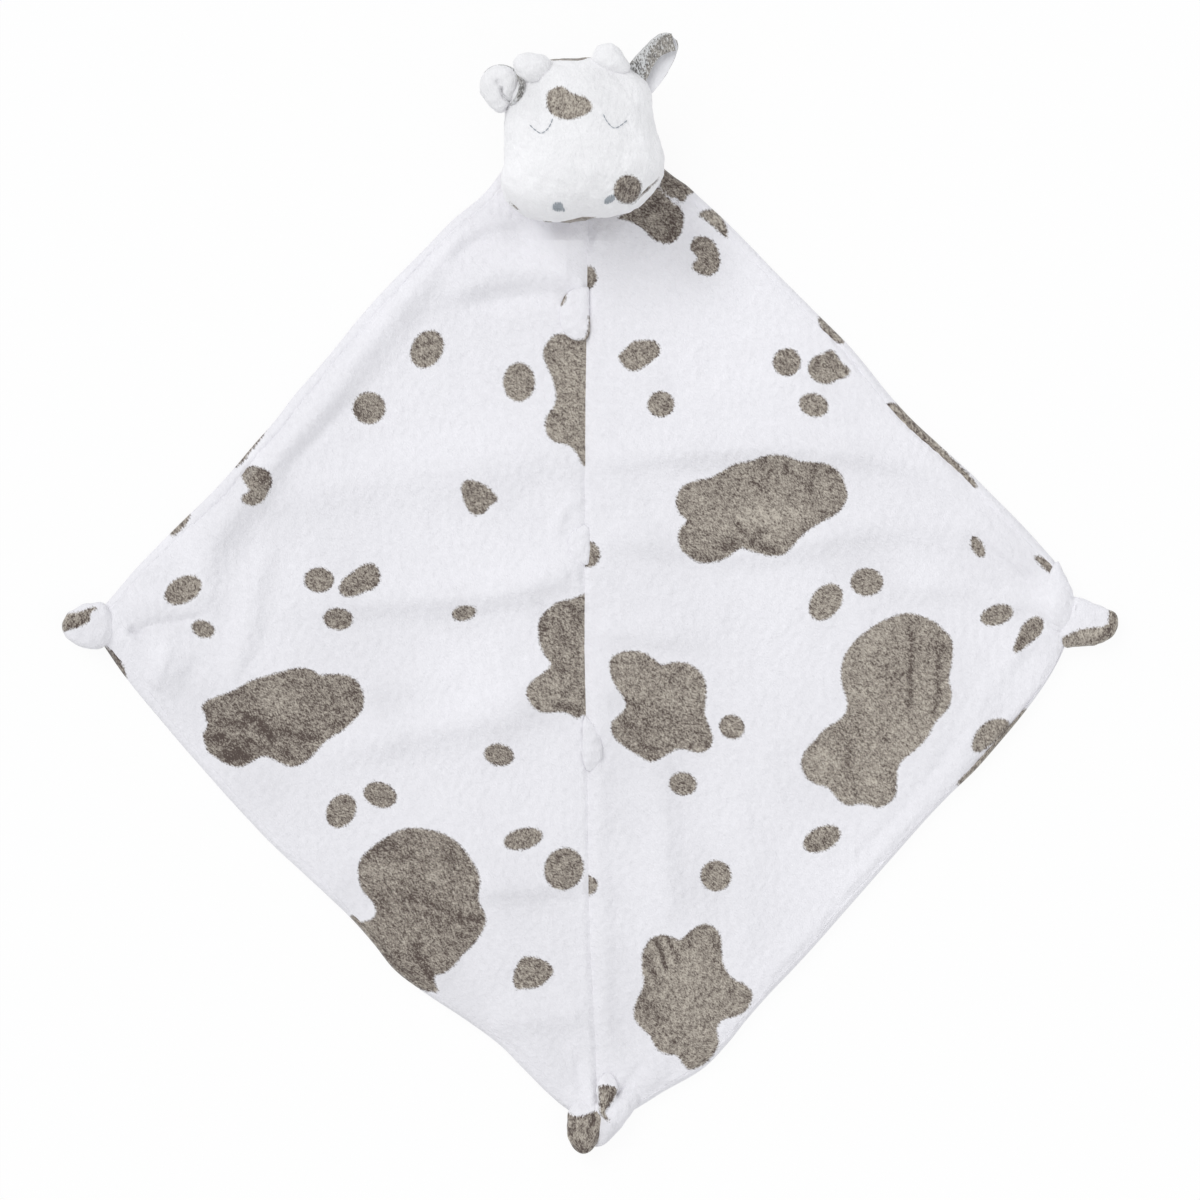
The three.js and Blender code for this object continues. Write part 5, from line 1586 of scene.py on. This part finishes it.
class LOVEY_OT_ears(bpy.types.Operator):
    """Two ears of two plies: the left one curled up, the right one folded lengthwise"""
    bl_idname = "lovey.ears"
    bl_label = "Ears"

    LEFT_BEND = ("head", "left_ear", (-37 * MM, 237.8 * MM, 0), (-40 * MM, 239.5 * MM, 0))
    RIGHT_BEND = ("head", "right_ear", (25.5 * MM, 244.8 * MM, 0), (27.1 * MM, 247.4 * MM, 0))
    # The right ear from its root to its tip: its fold, the free edge of the part that is turned
    # over, and the edge on the right
    FOLD = [(625, 76), (632, 64.5), (645, 50), (656.5, 39.5), (664.5, 36.5), (671, 37.5)]
    FLAP = [(643, 90), (648, 78), (654, 66.5), (660, 59), (667, 55), (675.5, 53)]
    RIM = [(652, 95), (661, 84), (668.5, 72), (674.5, 60), (677.5, 50), (676, 43)]
    # Where its back is brown: the tip with the turned edge, and a lighter patch at the root
    TIP_PRINT = [(645, 72), (647, 59), (652, 49), (660, 41.5), (668, 36.5), (677, 40), (682, 46),
                 (678, 55), (664, 58), (655, 67), (646, 86), (643, 84)]
    ROOT_PRINT = [(622, 72), (630, 60), (638, 62), (643, 72), (644, 90), (634, 84)]

    def execute(self, context):
        self.left_curl()
        self.left_back()
        lining = self.leaf("ear_lining_right", 0.9)
        plain_pile(lining)
        finish_piece(lining, "ear_lining", ["ear_right_inner"], bend=self.RIGHT_BEND)
        back = self.leaf("ear_back_right", -0.2)
        tip = np.clip(print_on(back, [self.TIP_PRINT]), -0.7 * MM, 0.45 * MM)
        root = np.maximum(print_on(back, [self.ROOT_PRINT]), -0.12 * MM)
        plain_pile(back, np.minimum(tip, root))
        finish_piece(back, "ear_back", ["ear_right_outer"], bend=self.RIGHT_BEND)
        return {"FINISHED"}

    def left_curl(self):
        """The left ear's lining, curled up into a lump."""
        outline = [(502, 68), (512, 71), (518.5, 78), (520.5, 87), (518, 98), (512, 107.5),
                   (503, 115), (494, 111.5), (486, 103.5), (480.5, 93), (481, 82), (486, 74),
                   (493, 69.5)]
        obj = pillow("ear_lining_left", outline, middle=38, up=7, down=7, square=0.7,
                     segments=96, rings=60)
        groove(obj, [(502.5, 89), (502, 94), (504, 99), (508, 103), (513, 105.5), (509, 110),
                     (504, 115)], width=1.5, depth=3.0)
        groove(obj, [(496, 84), (502, 88), (503, 94)], width=3.0, depth=1.6)
        groove(obj, [(520, 99), (516, 104), (512, 106)], width=2, depth=1.4)
        roughen(obj, length=6, depth=0.25, seed=71)
        plain_pile(obj)
        finish_piece(obj, "head_plush", ["ear_left_inner"], bend=self.LEFT_BEND)

    def left_back(self):
        """The left ear's outer ply, of which only the edge round the curl shows."""
        obj = strand("ear_back_left", [(510, 109, 36, 1.2, 3), (516, 103.5, 44, 1.5, 3.4),
                                       (520.5, 98, 46.4, 1.7, 3.2), (522.5, 90, 46, 1.7, 3),
                                       (521, 82, 42.5, 1.5, 3), (514.5, 73.6, 38, 1.2, 2.5),
                                       (503, 68.7, 38, 1.1, 2.5), (492, 70.2, 38, 1.1, 2.5),
                                       (484, 75.6, 37, 1.0, 2.5)], segments=24, rings=48)
        # Dark where it meets the head, pale along the top of the curl
        beside_head = points_of(obj)[:, 0] > at(517, 0)[0]
        plain_pile(obj, np.where(beside_head, -0.35, 0.55) * MM)
        finish_piece(obj, "ear_back", ["ear_left_outer"], bend=self.LEFT_BEND)

    def leaf(self, name, offset):
        """One ply of the right ear, on the upper or the lower side of the same form."""
        long, wide = 39, 30
        fold, flap, rim = (curve_through(line, long + 1) for line in (self.FOLD, self.FLAP, self.RIM))
        obj = grid(name, long, wide)
        p = points_of(obj)
        along, across = (p[:, 0] + 0.5) * long, p[:, 1] + 0.5

        def on(line):
            return places(read_rows(line, along))

        below = np.clip(across / 0.55, 0, 1)
        over = np.clip((across - 0.6) / 0.4, 0, 1)
        plan = on(rim) + (on(fold) - on(rim)) * np.sin(below * QUARTER_TURN)[:, None]
        plan += (on(flap) - on(fold)) * (1 - np.cos(over * QUARTER_TURN))[:, None]
        height = 33 + 3.2 * smooth((across - 0.5) / 0.16) + 1.2 * np.sin(over * math.pi)
        height += 2.2 * along / long - 0.9 * np.sin(np.clip(across / 0.5, 0, 1) * math.pi)
        move_points(obj, np.column_stack([plan, height * MM]))
        apply_modifier(obj, "SOLIDIFY", thickness=1.0 * MM, offset=offset)
        roughen(obj, length=6, depth=0.15, seed=81)
        return obj


class LOVEY_OT_neck_stitches(bpy.types.Operator):
    """Hand stitches that hold the head to the blanket"""
    bl_idname = "lovey.neck_stitches"
    bl_label = "Neck stitches"

    def execute(self, context):
        low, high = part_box("neck_stitch_ring")
        centre = (low + high) / 2
        count, thickness, longer, lean = 22, 0.6 * MM, 4.2, 0.25
        radius = (high.x - low.x) / 2 - thickness
        stitches = []
        for turn in 2 * math.pi * np.arange(count) / count:
            deselect()
            bpy.ops.mesh.primitive_uv_sphere_add(
                segments=8, ring_count=6, radius=thickness, scale=(longer, 1, 1),
                location=(centre.x + radius * math.cos(turn), centre.y + radius * math.sin(turn),
                          centre.z), rotation=(0, 0, turn + QUARTER_TURN + lean))
            bpy.ops.object.transform_apply(location=True, rotation=True, scale=True)
            stitches.append(bpy.context.active_object)
        obj = join("neck_stitches", stitches)
        plain_pile(obj)
        finish_piece(obj, "white_thread", ["neck_stitch_ring"], "top_corner")
        return {"FINISHED"}


class LOVEY_OT_stage(bpy.types.Operator):
    """White floor, soft light from the upper left, and the camera straight above"""
    bl_idname = "lovey.stage"
    bl_label = "Stage"

    WHITE = (1, 1, 1, 1)

    def execute(self, context):
        settings = context.scene.lovey_stage
        deselect()
        bpy.ops.mesh.primitive_plane_add(size=12, location=(0, 0, 0))
        floor = added("floor")
        floor.data.materials.append(self.floor_material())
        self.world(context.scene, settings.room_light)
        self.sun("key_light", (-1, 1.4, 2), (-32, -36), settings.key_light, 44)
        self.sun("fill_light", (1, -1.4, 2), (21, 40), settings.fill_light, 60)
        self.sun("front_light", (-0.4, -1.6, 2), (46, -14), settings.front_light, 60)
        x, y = at(PICTURE / 2, PICTURE / 2)
        deselect()
        bpy.ops.object.camera_add(location=(x, y, settings.camera_height), rotation=(0, 0, 0))
        camera = added("camera")
        # The picture's side spans the frame at the height of the cloth
        sensor, cloth = 36, 0.01
        camera.data.sensor_width = sensor
        camera.data.lens = sensor * (settings.camera_height - cloth) / (PICTURE * PIXEL)
        camera.data.clip_end = 100
        context.scene.camera = camera
        context.scene.view_settings.view_transform = "Standard"
        return {"FINISHED"}

    def sun(self, name, place, tilt, strength, spread):
        """A distant lamp: its tilt about x and y and the spread of its light in degrees."""
        deselect()
        bpy.ops.object.light_add(type="SUN", location=place,
                                 rotation=(math.radians(tilt[0]), math.radians(tilt[1]), 0))
        lamp = added(name).data
        lamp.energy = strength
        lamp.angle = math.radians(spread)

    def looked_at(self, shader):
        """1 where the camera, a reflection or a transmitted ray looks."""
        camera, glossy, through = (
            shader.node("ShaderNodeLightPath", output=f"Is {kind} Ray")
            for kind in ("Camera", "Glossy", "Transmission"))
        return (camera + glossy + through).clamp()

    def floor_material(self):
        """White that glows enough for the floor to look almost like the background."""
        s = Shader(bpy.data.materials.new("white_floor"))
        s.surface({"Base Color": shade_of((0.86, 0.86, 0.86)), "Roughness": 0.9,
                   "Specular IOR Level": 0.0})
        plain = Value(s, s.tree.nodes["Principled BSDF"].outputs[0])
        glow = s.node("ShaderNodeEmission", {}, {"Color": self.WHITE, "Strength": 1.0})
        s.put(s.node("ShaderNodeMixShader", {}, [self.looked_at(s) * 0.93, plain, glow]),
              s.tree.nodes["Material Output"].inputs["Surface"])
        return s.owner

    def world(self, scene, strength):
        """Even light from all round, and pure white where the camera looks."""
        scene.world = scene.world or bpy.data.worlds.new("room")
        s = Shader(scene.world)
        s.tree.nodes.clear()
        room = s.node("ShaderNodeBackground", {}, {"Color": (0.97, 0.985, 1.0, 1.0),
                                                   "Strength": strength})
        white = s.node("ShaderNodeBackground", {}, {"Color": self.WHITE, "Strength": 1.0})
        mixed = s.node("ShaderNodeMixShader", {}, [self.looked_at(s), room, white])
        s.node("ShaderNodeOutputWorld", {}, {"Surface": mixed})


OPERATORS = (LOVEY_OT_stage, LOVEY_OT_back, LOVEY_OT_front, LOVEY_OT_knots, LOVEY_OT_tufts,
             LOVEY_OT_head, LOVEY_OT_face_stitches, LOVEY_OT_horns, LOVEY_OT_ears,
             LOVEY_OT_neck_stitches)


class LOVEY_PT_panel(bpy.types.Panel):
    """Lists the pieces in the 3D view's sidebar"""
    bl_idname = "LOVEY_PT_panel"
    bl_label = "Comfort blanket"
    bl_space_type = "VIEW_3D"
    bl_region_type = "UI"
    bl_category = "Comfort blanket"

    def draw(self, context):
        layout = self.layout
        for group in (context.scene.lovey_sizes, context.scene.lovey_colours,
                      context.scene.lovey_stage):
            for name in group.bl_rna.properties.keys():
                if name not in ("rna_type", "name"):
                    layout.prop(group, name)
        for operator in OPERATORS:
            layout.operator(operator.bl_idname)


CLASSES = (BlanketSizes, PlushColours, StageSettings, *OPERATORS, LOVEY_PT_panel)


def register():
    for cls in CLASSES:
        bpy.utils.register_class(cls)
    bpy.types.Scene.lovey_sizes = bpy.props.PointerProperty(type=BlanketSizes)
    bpy.types.Scene.lovey_colours = bpy.props.PointerProperty(type=PlushColours)
    bpy.types.Scene.lovey_stage = bpy.props.PointerProperty(type=StageSettings)


def unregister():
    del bpy.types.Scene.lovey_stage
    del bpy.types.Scene.lovey_colours
    del bpy.types.Scene.lovey_sizes
    for cls in reversed(CLASSES):
        bpy.utils.unregister_class(cls)


def main():
    register()
    bpy.ops.lovey.stage()
    bpy.ops.lovey.back()
    bpy.ops.lovey.front()
    bpy.ops.lovey.knots()
    bpy.ops.lovey.tufts()
    bpy.ops.lovey.head()
    bpy.ops.lovey.face_stitches()
    bpy.ops.lovey.horns()
    bpy.ops.lovey.ears()
    bpy.ops.lovey.neck_stitches()
    deselect()


if __name__ == "__main__":
    main()
